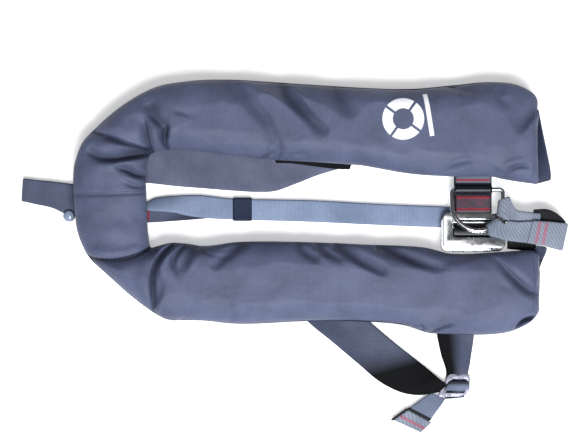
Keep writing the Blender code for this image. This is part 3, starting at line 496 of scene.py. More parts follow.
def smoothed(points: Sequence[Sequence[float]], step: float) -> np.ndarray:
    """Run a centripetal curve through rows of numbers and resample it evenly.

    Args:
        points: rows; the first six numbers are two points in 3-D that share one parameter.
        step: spacing of the new rows along the mean of the two points.

    Returns:
        The resampled rows.
    """
    rows = np.array(points, float)
    padded = np.vstack([2 * rows[0] - rows[1], rows, 2 * rows[-1] - rows[-2]])
    out = []
    for i in range(1, len(padded) - 2):
        a, b, c, d = padded[i - 1:i + 3]
        for t in np.linspace(0, 1, 24, endpoint=False):
            ab, bc, cd = (max(np.linalg.norm(way), 1e-9) for way in (b - a, c - b, d - c))
            m1 = (b - a) / ab * bc / 2 + (c - b) / 2
            m2 = (c - b) / 2 + (d - c) / cd * bc / 2
            h = (2 * t ** 3 - 3 * t ** 2 + 1, t ** 3 - 2 * t ** 2 + t, -2 * t ** 3 + 3 * t ** 2, t ** 3 - t ** 2)
            out.append(h[0] * b + h[1] * m1 + h[2] * c + h[3] * m2)
    out.append(rows[-1])
    dense = np.array(out)
    mean = (dense[:, :3] + dense[:, 3:6]) / 2
    moved = np.linalg.norm(np.diff(mean, axis=0), axis=1)
    sides = (np.linalg.norm(np.diff(dense[:, :3], axis=0), axis=1)
             + np.linalg.norm(np.diff(dense[:, 3:6], axis=0), axis=1)) / 2
    length = np.concatenate([[0], np.cumsum(np.maximum(moved, sides))])
    count = max(2, int(round(length[-1] / step)) + 1)
    at = np.linspace(0, length[-1], count)
    return np.array([np.interp(at, length, dense[:, k]) for k in range(dense.shape[1])]).T


def skinned(name: str, rings: np.ndarray, uv: np.ndarray, finish: str) -> bpy.types.Object:
    """Skin closed rings of points into a solid, capped at both ends, with its own UV.

    Args:
        name: the piece's name.
        rings: (count, points, 3) places in metres.
        uv: (count, points + 1, 2) places on the cloth in metres; the last column closes the ring.
        finish: the finish's key.

    Returns:
        The new object.
    """
    count, points, _ = rings.shape
    faces, loops = [], []
    for i in range(count - 1):
        for j in range(points):
            k = (j + 1) % points
            faces.append((i * points + j, i * points + k, (i + 1) * points + k, (i + 1) * points + j))
            loops += [uv[i, j], uv[i, j + 1], uv[i + 1, j + 1], uv[i + 1, j]]
    for i, order in ((0, range(points - 1, -1, -1)), (count - 1, range(points))):
        faces.append(tuple(i * points + j for j in order))
        loops += [uv[i, j] for j in order]
    mesh = bpy.data.meshes.new(name)
    mesh.from_pydata(rings.reshape(-1, 3).tolist(), [], faces)
    layer = mesh.uv_layers.new(name="cloth")
    layer.data.foreach_set("uv", np.array(loops, np.float32).ravel())
    outward(mesh)
    mesh.shade_smooth()
    mesh.materials.append(WARDROBE.get(finish))
    return linked(name, mesh)


@dataclass
class Strip:
    """A flat strip of webbing or cloth between two edges that each follow a smooth line in space."""

    name: str
    edges: Sequence[Sequence[float]]     # rows of six: one edge's x, y, z and the other's, in millimetres
    finish: str
    thickness: float = WEBBING
    step: float = 1.5 * MM
    across: int = 12
    rib: float = 0.0
    pitch: float = 2.4 * MM
    skew: float = 0.0
    crown: float = 0.0
    round_ends: float = 0.0
    shade: Sequence[float] | None = None      # painted shade: where along and across the strip the shade colour is blended in

    def build(self) -> bpy.types.Object:
        """Make the strip's closed mesh."""
        rows = smoothed(np.array(self.edges, float) * MM, self.step)
        near, far = rows[:, :3], rows[:, 3:6]
        along = np.gradient((near + far) / 2, axis=0)
        side = far - near
        normal = np.cross(side, along)
        normal /= np.maximum(np.linalg.norm(normal, axis=1, keepdims=True), 1e-12)
        if normal[:, 2].mean() < 0:
            normal = -normal
        length = np.concatenate([[0], np.cumsum(np.linalg.norm(np.diff((near + far) / 2, axis=0), axis=1))])
        width = np.linalg.norm(side, axis=1)
        even = np.linspace(0, 1, self.across + 1)
        share = (1 - np.cos(math.pi * even)) / 2 * 0.35 + even * 0.65
        order = [(s, 1.0) for s in share] + [(s, -1.0) for s in share[-2:0:-1]]
        rings = np.zeros((len(rows), len(order), 3))
        uv = np.zeros((len(rows), len(order) + 1, 2))
        end = np.ones(len(rows))
        if self.round_ends:
            gone = np.minimum(length, length[-1] - length) / self.round_ends
            end = np.sqrt(np.clip(1 - np.clip(1 - gone, 0, 1) ** 2, 0.04, 1))
        for j, (s, face) in enumerate(order):
            thick = self.thickness / 2 * math.sqrt(max(0.0, 1 - abs(2 * s - 1) ** 9))
            lift = face * thick * end + self.crown * (1 - (2 * s - 1) ** 2)
            if self.rib and thick:
                lift = lift + face * self.rib * np.cos(2 * math.pi * (length + self.skew * s * width) / self.pitch)
            rings[:, j] = near + side * s + normal * lift[:, None]
            uv[:, j] = np.stack([length, s * width], axis=1)
        uv[:, -1] = uv[:, 0]
        obj = skinned(self.name, rings, uv, self.finish)
        # Painted shade: the 'shade' attribute, rising along the strip from start to stop and across it from low to
        # high.
        if self.shade is not None:
            start, stop, low, high = self.shade
            t = np.clip((length / length[-1] - start) / (stop - start), 0, 1)
            t = t * t * (3 - 2 * t)
            values = np.zeros(rings.shape[:2])
            for j, (s, _) in enumerate(order):
                values[:, j] = np.clip(t * (low + (high - low) * s), 0, 1)
            data = obj.data.attributes.new("shade", "FLOAT", "POINT")
            data.data.foreach_set("value", values.ravel().astype(np.float32))
        return obj

    def lay(self, body: Body | None, replaced: Sequence[str] = ()) -> None:
        """Make the strip and settle it."""
        settle(self.build(), body, replaced)


def baked(obj: bpy.types.Object) -> bpy.types.Object:
    """Apply an object's modifiers, or a curve's shape, as a plain mesh at the origin.

    Args:
        obj: a mesh with modifiers, or a curve.

    Returns:
        The object that holds the plain mesh.
    """
    bpy.context.view_layer.update()
    graph = bpy.context.evaluated_depsgraph_get()
    mesh = bpy.data.meshes.new_from_object(obj.evaluated_get(graph), depsgraph=graph)
    mesh.transform(obj.matrix_world)
    name, materials = obj.name, list(obj.data.materials)
    mesh.materials.clear()
    for material in materials:
        mesh.materials.append(material)
    bpy.data.objects.remove(obj)
    new = bpy.data.objects.new(name, mesh)
    mesh.name = name
    bpy.context.scene.collection.objects.link(new)
    return new


def rounded_outline(low: tuple[float, float], high: tuple[float, float], radius: float,
                    steps: int = 8) -> list[tuple[float, float]]:
    """Draw a rectangle with round corners.

    Args:
        low: the lowest corner in millimetres.
        high: the highest corner in millimetres.
        radius: the corners' radius.
        steps: points in a corner.

    Returns:
        The outline's points in millimetres.
    """
    points = []
    for corner, (x, y) in enumerate(((high[0] - radius, high[1] - radius), (low[0] + radius, high[1] - radius),
                                     (low[0] + radius, low[1] + radius), (high[0] - radius, low[1] + radius))):
        for i in range(steps + 1):
            turn = math.pi / 2 * (corner + i / steps)
            points.append((x + radius * math.cos(turn), y + radius * math.sin(turn)))
    return points


def plate(name: str, outlines: Iterable[Sequence[tuple[float, float]]], bottom: float, thickness: float,
          bevel: float, finish: str) -> bpy.types.Object:
    """Make a flat plate with holes and rounded edges.

    Args:
        name: the piece's name.
        outlines: closed outlines in millimetres, the outer one first.
        bottom: height of its underside in millimetres.
        thickness: its thickness in millimetres.
        bevel: radius of its edges in millimetres.
        finish: the finish's key.

    Returns:
        The plate.
    """
    curve = bpy.data.curves.new(name, "CURVE")
    curve.dimensions, curve.fill_mode = "2D", "BOTH"
    curve.extrude, curve.bevel_depth = (thickness / 2 - bevel) * MM, bevel * MM
    curve.offset, curve.bevel_resolution = -bevel * MM, 3
    for outline in outlines:
        spline = curve.splines.new("POLY")
        spline.points.add(len(outline) - 1)
        spline.use_cyclic_u = True
        for point, (x, y) in zip(spline.points, outline):
            point.co = (x * MM, y * MM, 0, 1)
    curve.materials.append(WARDROBE.get(finish))
    obj = linked(name, curve)
    obj.location.z = (bottom + thickness / 2) * MM
    obj = baked(obj)
    outward(obj.data, WELD)
    obj.data.shade_smooth()
    obj.data.set_sharp_from_angle(angle=SHARP_EDGE)
    return obj


def tube(name: str, points: Sequence[Sequence[float]], radius: float, finish: str, cyclic: bool = False,
         steps: int = 5) -> bpy.types.Object:
    """Make a round bar along points in metres.

    Args:
        name: the piece's name.
        points: the centreline in metres.
        radius: the bar's radius in metres.
        finish: the finish's key.
        cyclic: close the bar into a ring.
        steps: fineness of the round section.

    Returns:
        The bar.
    """
    curve = bpy.data.curves.new(name, "CURVE")
    curve.dimensions, curve.bevel_depth, curve.bevel_resolution = "3D", radius, steps
    curve.use_fill_caps = not cyclic
    spline = curve.splines.new("POLY")
    spline.points.add(len(points) - 1)
    spline.use_cyclic_u = cyclic
    for point, place in zip(spline.points, points):
        point.co = (*place, 1)
    curve.materials.append(WARDROBE.get(finish))
    obj = linked(name, curve)
    obj = baked(obj)
    obj.data.shade_smooth()
    return obj


class Surface:
    """A finished piece that others lie on."""

    def __init__(self, obj: bpy.types.Object) -> None:
        """Index the piece's faces."""
        mesh = obj.data
        self.tree = BVHTree.FromPolygons([v.co for v in mesh.vertices], [p.vertices for p in mesh.polygons])

    def drop(self, x: float, y: float, lift: float = 0.2) -> tuple[float, float, float]:
        """Find the surface straight under a place.

        Args:
            x: place in millimetres.
            y: place in millimetres.
            lift: how far above the surface the result lies, in millimetres.

        Returns:
            The place in metres.
        """
        hit = self.tree.ray_cast(Vector((x * MM, y * MM, 0.2)), Vector((0, 0, -1)))[0]
        return (x * MM, y * MM, (hit.z if hit else 0.027) + lift * MM)

    def side(self, start: Sequence[float], towards: Sequence[float], lift: float) -> Vector | None:
        """Find the surface from one side.

        Args:
            start: where the look starts, in metres.
            towards: its direction.
            lift: how far off the surface the result lies, in metres.

        Returns:
            The place, or None where nothing is met.
        """
        way = Vector(towards).normalized()
        hit, normal, _, _ = self.tree.ray_cast(Vector(start), way)
        return None if hit is None else hit + (normal if normal.dot(way) < 0 else -normal) * lift


class StitchMaker:
    """Sews rows of thread with one Geometry Nodes tree."""

    def __init__(self) -> None:
        """Build the tree."""
        self.tree = bpy.data.node_groups.new("running_stitch", "GeometryNodeTree")
        face = self.tree.interface
        self.sockets = {}
        for name, kind in (("Seam", "NodeSocketGeometry"), ("Spacing", "NodeSocketFloat"),
                           ("Length", "NodeSocketFloat"), ("Thickness", "NodeSocketFloat"),
                           ("Slant", "NodeSocketFloat"), ("Thread", "NodeSocketMaterial")):
            self.sockets[name] = face.new_socket(name, in_out="INPUT", socket_type=kind).identifier
        face.new_socket("Stitches", in_out="OUTPUT", socket_type="NodeSocketGeometry")
        tree = self.tree
        given = add_node(tree, "NodeGroupInput").outputs
        curve = add_node(tree, "GeometryNodeMeshToCurve", {"Mesh": given["Seam"]})
        spots = add_node(tree, "GeometryNodeCurveToPoints", {"Curve": curve.outputs[0],
                                                            "Length": given["Spacing"]}, mode="LENGTH")
        ball = add_node(tree, "GeometryNodeMeshUVSphere", {"Segments": 6, "Rings": 4, "Radius": 0.5})
        size = add_node(tree, "ShaderNodeCombineXYZ", {0: given["Length"], 1: given["Thickness"],
                                                       2: given["Thickness"]})
        stitch = add_node(tree, "GeometryNodeTransform", {"Geometry": ball.outputs[0], "Scale": size.outputs[0]})
        lined = add_node(tree, "FunctionNodeAlignRotationToVector", {"Vector": spots.outputs["Tangent"]}, axis="X")
        lean = add_node(tree, "ShaderNodeCombineXYZ", {2: given["Slant"]})
        turned = add_node(tree, "FunctionNodeRotateRotation", {0: lined.outputs[0], 1: lean.outputs[0]},
                          rotation_space="LOCAL")
        placed = add_node(tree, "GeometryNodeInstanceOnPoints", {"Points": spots.outputs["Points"],
                                                                "Instance": stitch.outputs[0],
                                                                "Rotation": turned.outputs[0]})
        real = add_node(tree, "GeometryNodeRealizeInstances", {0: placed.outputs[0]})
        dyed = add_node(tree, "GeometryNodeSetMaterial", {"Geometry": real.outputs[0], "Material": given["Thread"]})
        add_node(tree, "NodeGroupOutput", {0: dyed.outputs[0]})

    def sew(self, name: str, seams: Iterable[Sequence[Sequence[float]]], finish: str, spacing: float = 3.2 * MM,
            length: float = 2.4 * MM, thickness: float = 0.7 * MM, slant: float = 0.0) -> bpy.types.Object:
        """Sew stitches along lines.

        Args:
            name: the piece's name.
            seams: lines of points in metres.
            finish: the thread's finish.
            spacing: from one stitch to the next, in metres.
            length: of a stitch.
            thickness: of the thread.
            slant: turn of each stitch from the seam, in radians.

        Returns:
            The stitches as one plain mesh.
        """
        points, edges = [], []
        for seam in seams:
            first = len(points)
            points += [tuple(p) for p in seam]
            edges += [(i, i + 1) for i in range(first, len(points) - 1)]
        mesh = bpy.data.meshes.new(name)
        mesh.from_pydata(points, edges, [])
        obj = linked(name, mesh)
        modifier = obj.modifiers.new("sew", "NODES")
        modifier.node_group = self.tree
        for key, value in (("Spacing", spacing), ("Length", length), ("Thickness", thickness),
                           ("Slant", slant), ("Thread", WARDROBE.get(finish))):
            modifier[self.sockets[key]] = value
        mesh.materials.append(WARDROBE.get(finish))
        obj = baked(obj)
        obj.data.shade_smooth()
        return obj


STITCHES = StitchMaker()


def settle(obj: bpy.types.Object, body: Body | None, replaced: Sequence[str] = ()) -> None:
    """Hang a finished piece on its body, or across the collar fold, and report it.

    Args:
        obj: the piece.
        body: the body, or None for cloth that crosses the collar fold.
        replaced: the CAD nodes that the piece stands for.
    """
    if body is None:
        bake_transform(obj)
    else:
        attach(obj, body.value)
    if replaced:
        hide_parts(*replaced)
    LOG.info("%s: %d faces", obj.name, len(obj.data.polygons))


def segment(points: Sequence[tuple[float, float]], step: float) -> list[tuple[float, float]]:
    """Split a plan line into short even steps.

    Args:
        points: the line's corners in millimetres.
        step: the spacing in millimetres.

    Returns:
        The finer line.
    """
    out = [tuple(points[0])]
    for (x0, y0), (x1, y1) in zip(points, points[1:]):
        count = max(1, int(math.hypot(x1 - x0, y1 - y0) / step))
        out += [(x0 + (x1 - x0) * i / count, y0 + (y1 - y0) * i / count) for i in range(1, count + 1)]
    return out


# ---- cover and panels ---------------------------------------------------------------------------

@dataclass(frozen=True)
class Fold:
    """A crease or ridge in the cover, along a line in plan; all sizes in millimetres."""

    line: tuple[tuple[float, float], ...]
    depth: float                 # down into the cover; negative stands up
    left: float                  # how far it reaches to the left of the line's direction
    right: float
    start: float = 0.3           # share of the depth at the line's first point
    stop: float = 0.3            # and at its last
    pinch: float = 0.0           # how tightly the cloth touches itself along the line: depth of a narrow cleft, which also sets its painted shadow line

    def fall(self, x: np.ndarray, y: np.ndarray) -> tuple[np.ndarray, np.ndarray]:
        """Work out how far each point sinks.

        Args:
            x: places in millimetres.
            y: places in millimetres.

        Returns:
            The drop in millimetres, and the painted shade of the cleft, from 0 to 1.
        """
        line = np.array(self.line, float)
        if len(line) > 2:
            line = smoothed([(*p, 0, *p, 0) for p in self.line], 2.0)[:, :2]
        lengths = np.linalg.norm(np.diff(line, axis=0), axis=1)
        total, gone = lengths.sum(), 0.0
        best = np.full(x.shape, 1e9)
        signed, share = np.zeros(x.shape), np.zeros(x.shape)
        for (a, b), length in zip(zip(line, line[1:]), lengths):
            way = (b - a) / length
            t = np.clip((x - a[0]) * way[0] + (y - a[1]) * way[1], 0, length)
            dx, dy = x - a[0] - way[0] * t, y - a[1] - way[1] * t
            far = np.hypot(dx, dy)
            closer = far < best
            best = np.where(closer, far, best)
            signed = np.where(closer, way[0] * dy - way[1] * dx, signed)
            share = np.where(closer, (gone + t) / total, share)
            gone += length
        width = np.where(signed > 0, self.left, self.right)
        swell = np.sin(np.pi * np.clip(share, 0, 1)) ** 0.7
        edge = self.start * (1 - share) + self.stop * share
        strength = edge + (1 - edge) * swell
        drop = self.depth * np.exp(-(best / width) ** 2) + self.pinch * np.exp(-(best / CLEFT_WIDTH) ** 2)
        # Painted shade: a dark line along the cleft.
        dark = self.pinch / CLEFT_DEPTH * np.exp(-(best / CLEFT_SHADE_WIDTH) ** 2)
        return drop * strength, np.clip(dark * strength, 0, 1)


@dataclass
class Cover:
    """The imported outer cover: upper lobe, collar and lower lobe in one sewn, padded piece."""

    # One edge's x and y, the other's, and the height share, from the upper lobe's end to the lower one's.
    stations: tuple[tuple[float, ...], ...] = (
        (515.0, 34, 515.0, 92, .22), (514.3, 18, 514.0, 111, .48), (511, 14.5, 510, 120, .72),
        (503, 15, 502, 126.5, .87), (487, 16.5, 487, 133.5, .97), (459, 20, 459, 136.5, 1), (408, 21, 408, 133, 1),
        (361, 24, 361, 130, 1), (301, 33, 301, 131, 1), (241, 38, 241, 134, 1), (185, 42, 185, 137, 1),
        (148, 47, 148, 138.5, 1), (115, 51, 115, 138, 1), (80, 54, 80, 134, 1), (60, 53, 60, 130, 1),
        (50.5, 50, 41, 122, .98), (46, 42, 6, 99, .98), (43.5, 33, -17, 77, .98), (42.5, 25, -31, 64, .98),
        (42, 17, -39, 47, .98), (42.5, 8, -43, 32, .98), (43, 0, -43.6, 15, .98), (43, -8, -43.5, -2, .98),
        (43.5, -20, -41.5, -22, .98), (44, -32, -39, -43, .98), (45, -45, -33, -60, .98),
        (46.5, -56, -24, -76, .98), (48, -63, -4, -94, .98), (51, -65.5, 25, -121, .98), (58, -64, 52, -142, .98),
        (73, -60, 70, -152, 1), (92, -60, 92, -153, 1), (115, -62, 115, -154, 1), (152, -58, 152, -158, 1),
        (241, -58, 241, -156, 1), (324, -61, 324, -158, 1), (356, -62, 356, -162, 1), (380, -64, 380, -169, 1),
        (408, -70, 408, -170.5, 1), (471, -70, 471, -168.5, 1), (487, -69.5, 487, -164, .97),
        (503, -69.5, 503, -155, .87), (511, -71, 510.5, -148, .72), (514.3, -74, 514.3, -141, .48),
        (515.0, -86, 515.0, -126, .22))
    bottom: float = 4.3
    middle: float = 27.2
    half_height: float = 22.8
    power: float = 2.5
    ring_step: float = 3.7
    top_points: int = 46
    low_points: int = 30
    outer_share: float = 0.955
    inner_share: float = 1.05
    # The highest that the finished cover may stand, and the deepest that folds may press it together.
    top_limit: float = 51.5
    deepest: float = 14.0
    tall_share: float = 0.95
    # The cloth simulation: the most that a point may move, the frames it runs, the air's pressure, the cloth's
    # stiffness, and how firmly the band above the underside is held.
    puff: float = 4.5
    frames: int = 20
    pressure: float = 4.0
    stiffness: float = 0.3
    hold: float = 0.9
    held_band: float = 3.0
    folds: tuple[Fold, ...] = (
        # Collar: the seam, and the gathers that run to the upper fold.
        Fold(((43, .5), (0, -1), (-43, -2.5)), .8, 2.2, 2.2, 1, 1, .9),
        Fold(((-16, 73), (4, 67), (24, 59), (49, 52)), 6, 2.4, 9, .5, 1, 2.6),
        Fold(((-10, 84), (6, 80), (22, 74)), -3, 8, 7),
        Fold(((-4, 62), (18, 56), (38, 53)), -4.5, 5, 5),
        Fold(((-24, 51), (-8, 43.5), (8, 42), (28, 45), (49, 49)), 9, 6.5, 4.5, .2, .8, 1.6),
        Fold(((-12, 33), (8, 34), (28, 38), (44, 40)), -4, 5, 5),
        Fold(((12, 31), (24, 28), (34, 23), (46, 21)), 7, 5, 3.2, .3, .8, 1.6),
        Fold(((20, 21), (34, 16), (46, 13)), -2.5, 4, 4),
        Fold(((22, 13), (34, 9), (46, 9)), 3, 3.5, 3, .2, .6, .6),
        Fold(((-40, 44), (-28, 58), (-14, 68)), -2, 6, 9),
        # The ears beside the upper fold.
        Fold(((45, 86), (46, 76), (48.5, 64), (52, 51)), 6, 2.6, 5.5, .2, 1, 2.0),
        Fold(((49, 108), (56, 92), (66, 78), (69, 70)), 6.5, 7, 7, .3, .9),
        Fold(((72, 79), (69.5, 72), (68.5, 62), (71, 53)), 7, 3, 3.4, .7, 1, 2.2),
        Fold(((50, 87), (55, 84), (62, 78), (68, 72)), -3, 4, 4, .6, .8),
        Fold(((56, 80), (58, 70), (61, 56)), -4.5, 6, 6, .5, 1),
        Fold(((90, 87), (80, 84), (75, 74), (73, 62)), -4, 4, 6, .5, .4),
        Fold(((80, 98), (92, 94), (102, 92)), 3, 5, 4),
        # Upper lobe: long diagonal folds.
        Fold(((30, 112), (52, 104), (66, 112)), 2.5, 8, 8),
        Fold(((138, 134), (146, 122), (156, 110)), 3, 6, 8, .6, .1),
        Fold(((158, 127), (174, 104), (190, 86), (201, 60)), 5.5, 7, 11, .6, .1),
        Fold(((165, 131), (186, 117), (208, 98), (220, 84), (225, 64)), -5.5, 7, 6, .5, .2),
        Fold(((206, 128), (222, 108), (240, 90), (262, 71)), 9, 9, 8, .8, .1),
        Fold(((218, 127), (236, 110), (254, 94), (276, 76)), -5.5, 5, 5, .6, .1),
        Fold(((266, 130), (276, 110), (294, 88)), 5.5, 12, 11, .8, .1),
        Fold(((300, 130), (318, 112), (340, 96)), -1.5, 12, 12),
        Fold(((180, 41), (190, 46), (200, 50)), 3, 2.5, 3.5, .6, .2, 1.0),
        Fold(((190, 40), (194, 50), (193, 58)), -2, 3, 3),
        Fold(((203, 40), (206, 50), (202, 62)), 2.8, 3, 4, .7, .2, .8),
        Fold(((212, 42), (222, 47), (236, 47)), 2.4, 3, 3, .6, .3),
        Fold(((96, 57), (140, 55), (178, 50)), -1.4, 6, 6),
        Fold(((393, 136), (418, 124), (442, 121)), 5, 12, 5, .5, .2),
        Fold(((470, 128), (464, 114), (476, 104)), 3.5, 6, 6),
        Fold(((514, 104), (500, 92), (486, 72)), 5, 5, 9, .8, .1),
        Fold(((514, 94), (504, 84), (492, 70)), -2, 4, 4, .8, .1),
        Fold(((403, 28), (416, 33), (432, 36)), 2.6, 2.2, 3.5, .5, .2, .9),
        Fold(((398, 33), (414, 38), (430, 40)), -1.8, 4, 3),
        Fold(((472, 21), (478, 29), (488, 33), (500, 32)), 3.2, 2.4, 3.5, .5, .2, 1.0),
        Fold(((466, 30), (478, 37), (494, 40)), -2, 4, 4),
        Fold(((507, 16), (508.5, 60), (507, 116)), .9, 1.5, 1.5, .8, .8),
        Fold(((300, 75), (330, 66), (356, 52)), 1.8, 10, 10),
        # The collar's hem over the lower lobe, and the crease below it.
        Fold(((-30, -72), (-14, -76.5), (6, -78.5), (24, -76), (38, -71.5), (52, -63)), 8, 1.4, 9, .8, 1, 3.4),
        Fold(((-20, -67), (8, -70), (36, -63)), -1.6, 4, 5, .5, .6),
        Fold(((80, -58), (66, -69), (57, -84), (54, -101), (54.5, -122), (54.5, -146)), 8, 5, 2.0, .7, .8, 2.4),
        Fold(((46, -82), (43, -104), (46, -130)), -2.2, 6, 9),
        Fold(((80, -106), (68, -124), (57, -143)), -2.6, 2.6, 4.5, .3, .6),
        Fold(((62, -92), (64, -110), (60, -130)), 2.5, 5, 4),
        Fold(((76, -70), (66, -84), (66, -98)), -3, 4, 4, .6, .2),
        Fold(((96, -58), (84, -68), (78, -80), (84, -96)), 6.5, 5, 3, .9, .2, .8),
        Fold(((112, -60), (98, -68), (92, -82), (88, -92)), 6, 7, 5, .9, .1),
        Fold(((112, -72), (102, -82), (98, -94)), -2, 5, 5),
        Fold(((162, -58), (146, -70), (132, -82), (124, -90)), 6, 6, 7, .9, .1),
        Fold(((122, -84), (118, -106), (112, -131)), -2, 10, 8),
        Fold(((164, -98), (157, -120), (149, -148)), -2.4, 7, 5, .3, .8),
        Fold(((153, -136), (148, -148), (143, -156)), 2.4, 5, 4, .2, .8),
        Fold(((190, -120), (205, -106), (222, -96)), 1.8, 9, 9),
        Fold(((226, -60), (236, -70), (250, -79)), 5, 5, 5, 1, .1),
        Fold(((250, -60), (262, -70), (279, -79)), 5, 5, 5, 1, .1),
        Fold(((240, -60), (250, -70), (264, -80)), -2, 4, 4, .8, .1),
        Fold(((272, -62), (290, -74), (308, -84), (330, -95)), 8, 9, 5, 1, .3),
        Fold(((300, -64), (316, -74), (336, -86)), -2.4, 6, 5, .7, .1),
        Fold(((322, -63), (344, -72), (364, -80), (392, -88)), 8.5, 9, 5, 1, .3),
        Fold(((350, -64), (372, -73), (398, -80)), -2.2, 6, 5, .7, .1),
        Fold(((462, -78), (476, -93), (492, -108), (514, -122)), 6, 2.6, 7, .3, .5, 1.4),
        Fold(((460, -88), (472, -101), (488, -115), (506, -127)), -2.2, 5, 5),
        Fold(((478, -78), (492, -94), (510, -108)), -1.6, 6, 5),
        Fold(((434, -132), (424, -148), (411, -166)), -2.2, 8, 8, .2, .8),
        Fold(((486, -158), (493, -150.5), (505, -146)), 8, 2.5, 3, .6, .7, 3.0),
        Fold(((494, -159), (500, -154), (508, -149)), -3.5, 2.5, 3, .8, .5),
        Fold(((200, -153), (250, -151.5), (300, -152.5), (340, -155.5), (372, -157)), 1.5, 1.5, 3.5, .1, .8, .8),
        Fold(((372, -155), (376, -160), (379, -168)), 3.2, 2.4, 3.5, .6, .9, 1.2),
        Fold(((379, -168), (392, -161), (410, -154)), 3.6, 2.0, 3.6, .9, .2, 1.6),
        Fold(((384, -158), (392, -155), (404, -148)), -1.8, 4, 3),
        Fold(((388, -172), (404, -166), (430, -165)), 1.6, 3, 3),
        Fold(((507, -74), (508.5, -100), (507, -140)), .9, 1.5, 1.5, .8, .8))

    def rings(self) -> tuple[np.ndarray, np.ndarray]:
        """Loft the cover's rings, slightly thin so that it can be puffed up.

        Returns:
            The rings and their UV, in metres.
        """
        rows = smoothed([(a, b, 0, c, d, 0, e) for a, b, c, d, e in self.stations], self.ring_step) * MM
        shares = rows[:, 6] / MM
        turns = np.concatenate([np.linspace(0, math.pi, self.top_points, endpoint=False),
                                np.linspace(math.pi, 2 * math.pi, self.low_points, endpoint=False)])
        cos, sin = np.cos(turns), np.sin(turns)
        wide = np.sign(cos) * np.abs(cos) ** (2 / self.power)
        tall = np.sign(sin) * np.abs(sin) ** (2 / self.power)
        centre, reach_out = (rows[:, :2] + rows[:, 3:5]) / 2, (rows[:, 3:5] - rows[:, :2]) / 2
        rings = np.zeros((len(rows), len(turns), 3))
        wide *= np.where(wide > 0, self.outer_share, self.inner_share)
        rings[:, :, :2] = centre[:, None] + reach_out[:, None] * wide[None, :, None]
        rings[:, :, 2] = (self.middle + self.half_height * self.tall_share * shares[:, None] * tall[None]) * MM
        closed = np.concatenate([rings, rings[:, :1]], axis=1)
        around = np.concatenate([np.zeros((len(rows), 1)),
                                 np.cumsum(np.linalg.norm(np.diff(closed, axis=1), axis=2), axis=1)], axis=1)
        steps = np.linalg.norm(np.diff(centre, axis=0), axis=1)
        along = np.concatenate([[0], np.cumsum(np.maximum(steps, 3 * MM))])
        return rings, np.stack([np.repeat(along[:, None], around.shape[1], 1), around], axis=2)

    def inflate(self, obj: bpy.types.Object) -> None:
        """Puff the cover up with a cloth simulation, and cap how far any point moves.

        Args:
            obj: the cover.
        """
        count = len(obj.data.vertices)
        held = obj.vertex_groups.new(name="held")
        rest = np.zeros(count * 3)
        obj.data.vertices.foreach_get("co", rest)
        rest = rest.reshape(-1, 3)
        low = np.nonzero(rest[:, 2] < (self.bottom + self.held_band) * MM)[0].tolist()
        held.add(low, self.hold, "REPLACE")
        cloth = obj.modifiers.new("puff", "CLOTH")
        settings = cloth.settings
        settings.use_pressure, settings.uniform_pressure_force = True, self.pressure
        settings.effector_weights.gravity = 0.0
        settings.vertex_group_mass = "held"
        settings.bending_stiffness = self.stiffness
        cloth.collision_settings.use_collision = False
        cloth.point_cache.frame_start, cloth.point_cache.frame_end = 1, self.frames
        scene = bpy.context.scene
        for number in range(1, self.frames + 1):
            scene.frame_set(number)
        graph = bpy.context.evaluated_depsgraph_get()
        moved = np.zeros(count * 3)
        obj.evaluated_get(graph).data.vertices.foreach_get("co", moved)
        obj.modifiers.remove(cloth)
        scene.frame_set(1)
        shift = moved.reshape(-1, 3) - rest
        far = np.linalg.norm(shift, axis=1, keepdims=True)
        most = self.puff * MM
        shift *= np.where(far > 0, most * np.tanh(far / most) / np.maximum(far, 1e-9), 0)
        obj.data.vertices.foreach_set("co", (rest + shift).ravel())

    def crease(self, obj: bpy.types.Object) -> None:
        """Press the folds and ridges into the top, and paint shade into the deep creases and clefts as the 'shade'
        attribute.

        Args:
            obj: the cover, finely divided.
        """
        mesh = obj.data
        places = np.zeros(len(mesh.vertices) * 3)
        mesh.vertices.foreach_get("co", places)
        places = places.reshape(-1, 3)
        x, y, z = (places / MM).T
        top = np.clip((z - self.middle + 4) / 10, 0, 1)
        top = top * top * (3 - 2 * top)
        fall, deep, dark = np.zeros(len(x)), np.zeros(len(x)), np.zeros(len(x))
        for fold in self.folds:
            drop, cleft = fold.fall(x, y)
            fall += drop
            deep += np.clip(drop, 0, None)
            dark = np.maximum(dark, cleft)
        ripple = np.array([noise.noise((a / 46, b / 20, 3.1)) * 1.5 + noise.noise((a / 17, b / 13, 7.7)) * 0.55
                           for a, b in zip(x, y)])
        z = z - top * (np.tanh(fall / self.deepest) * self.deepest + ripple)
        under = 1 - top
        bulge = np.array([noise.noise((a / 30, b / 30, c / 14)) for a, b, c in zip(x, y, z)])
        z = np.maximum(z + under * bulge * 0.7, self.bottom)
        places[:, 2] = np.minimum(z, self.top_limit) * MM
        mesh.vertices.foreach_set("co", places.ravel())
        # Painted shade: darker where the folds press deep and along the clefts, on the top only.
        shade = mesh.attributes.new("shade", "FLOAT", "POINT")
        value = np.maximum(np.clip(deep / 10, 0, 1) ** 1.3 * 0.8, dark) * top
        shade.data.foreach_set("value", value.astype(np.float32))
        mesh.update()

    def build(self) -> bpy.types.Object:
        """Make the cover: loft it, puff it up and crease it."""
        rings, uv = self.rings()
        obj = skinned("cover", rings, uv, "cover")
        self.inflate(obj)
        finer = obj.modifiers.new("finer", "SUBSURF")
        finer.levels = finer.render_levels = 1
        obj = baked(obj)
        self.crease(obj)
        obj.data.shade_smooth()
        return obj

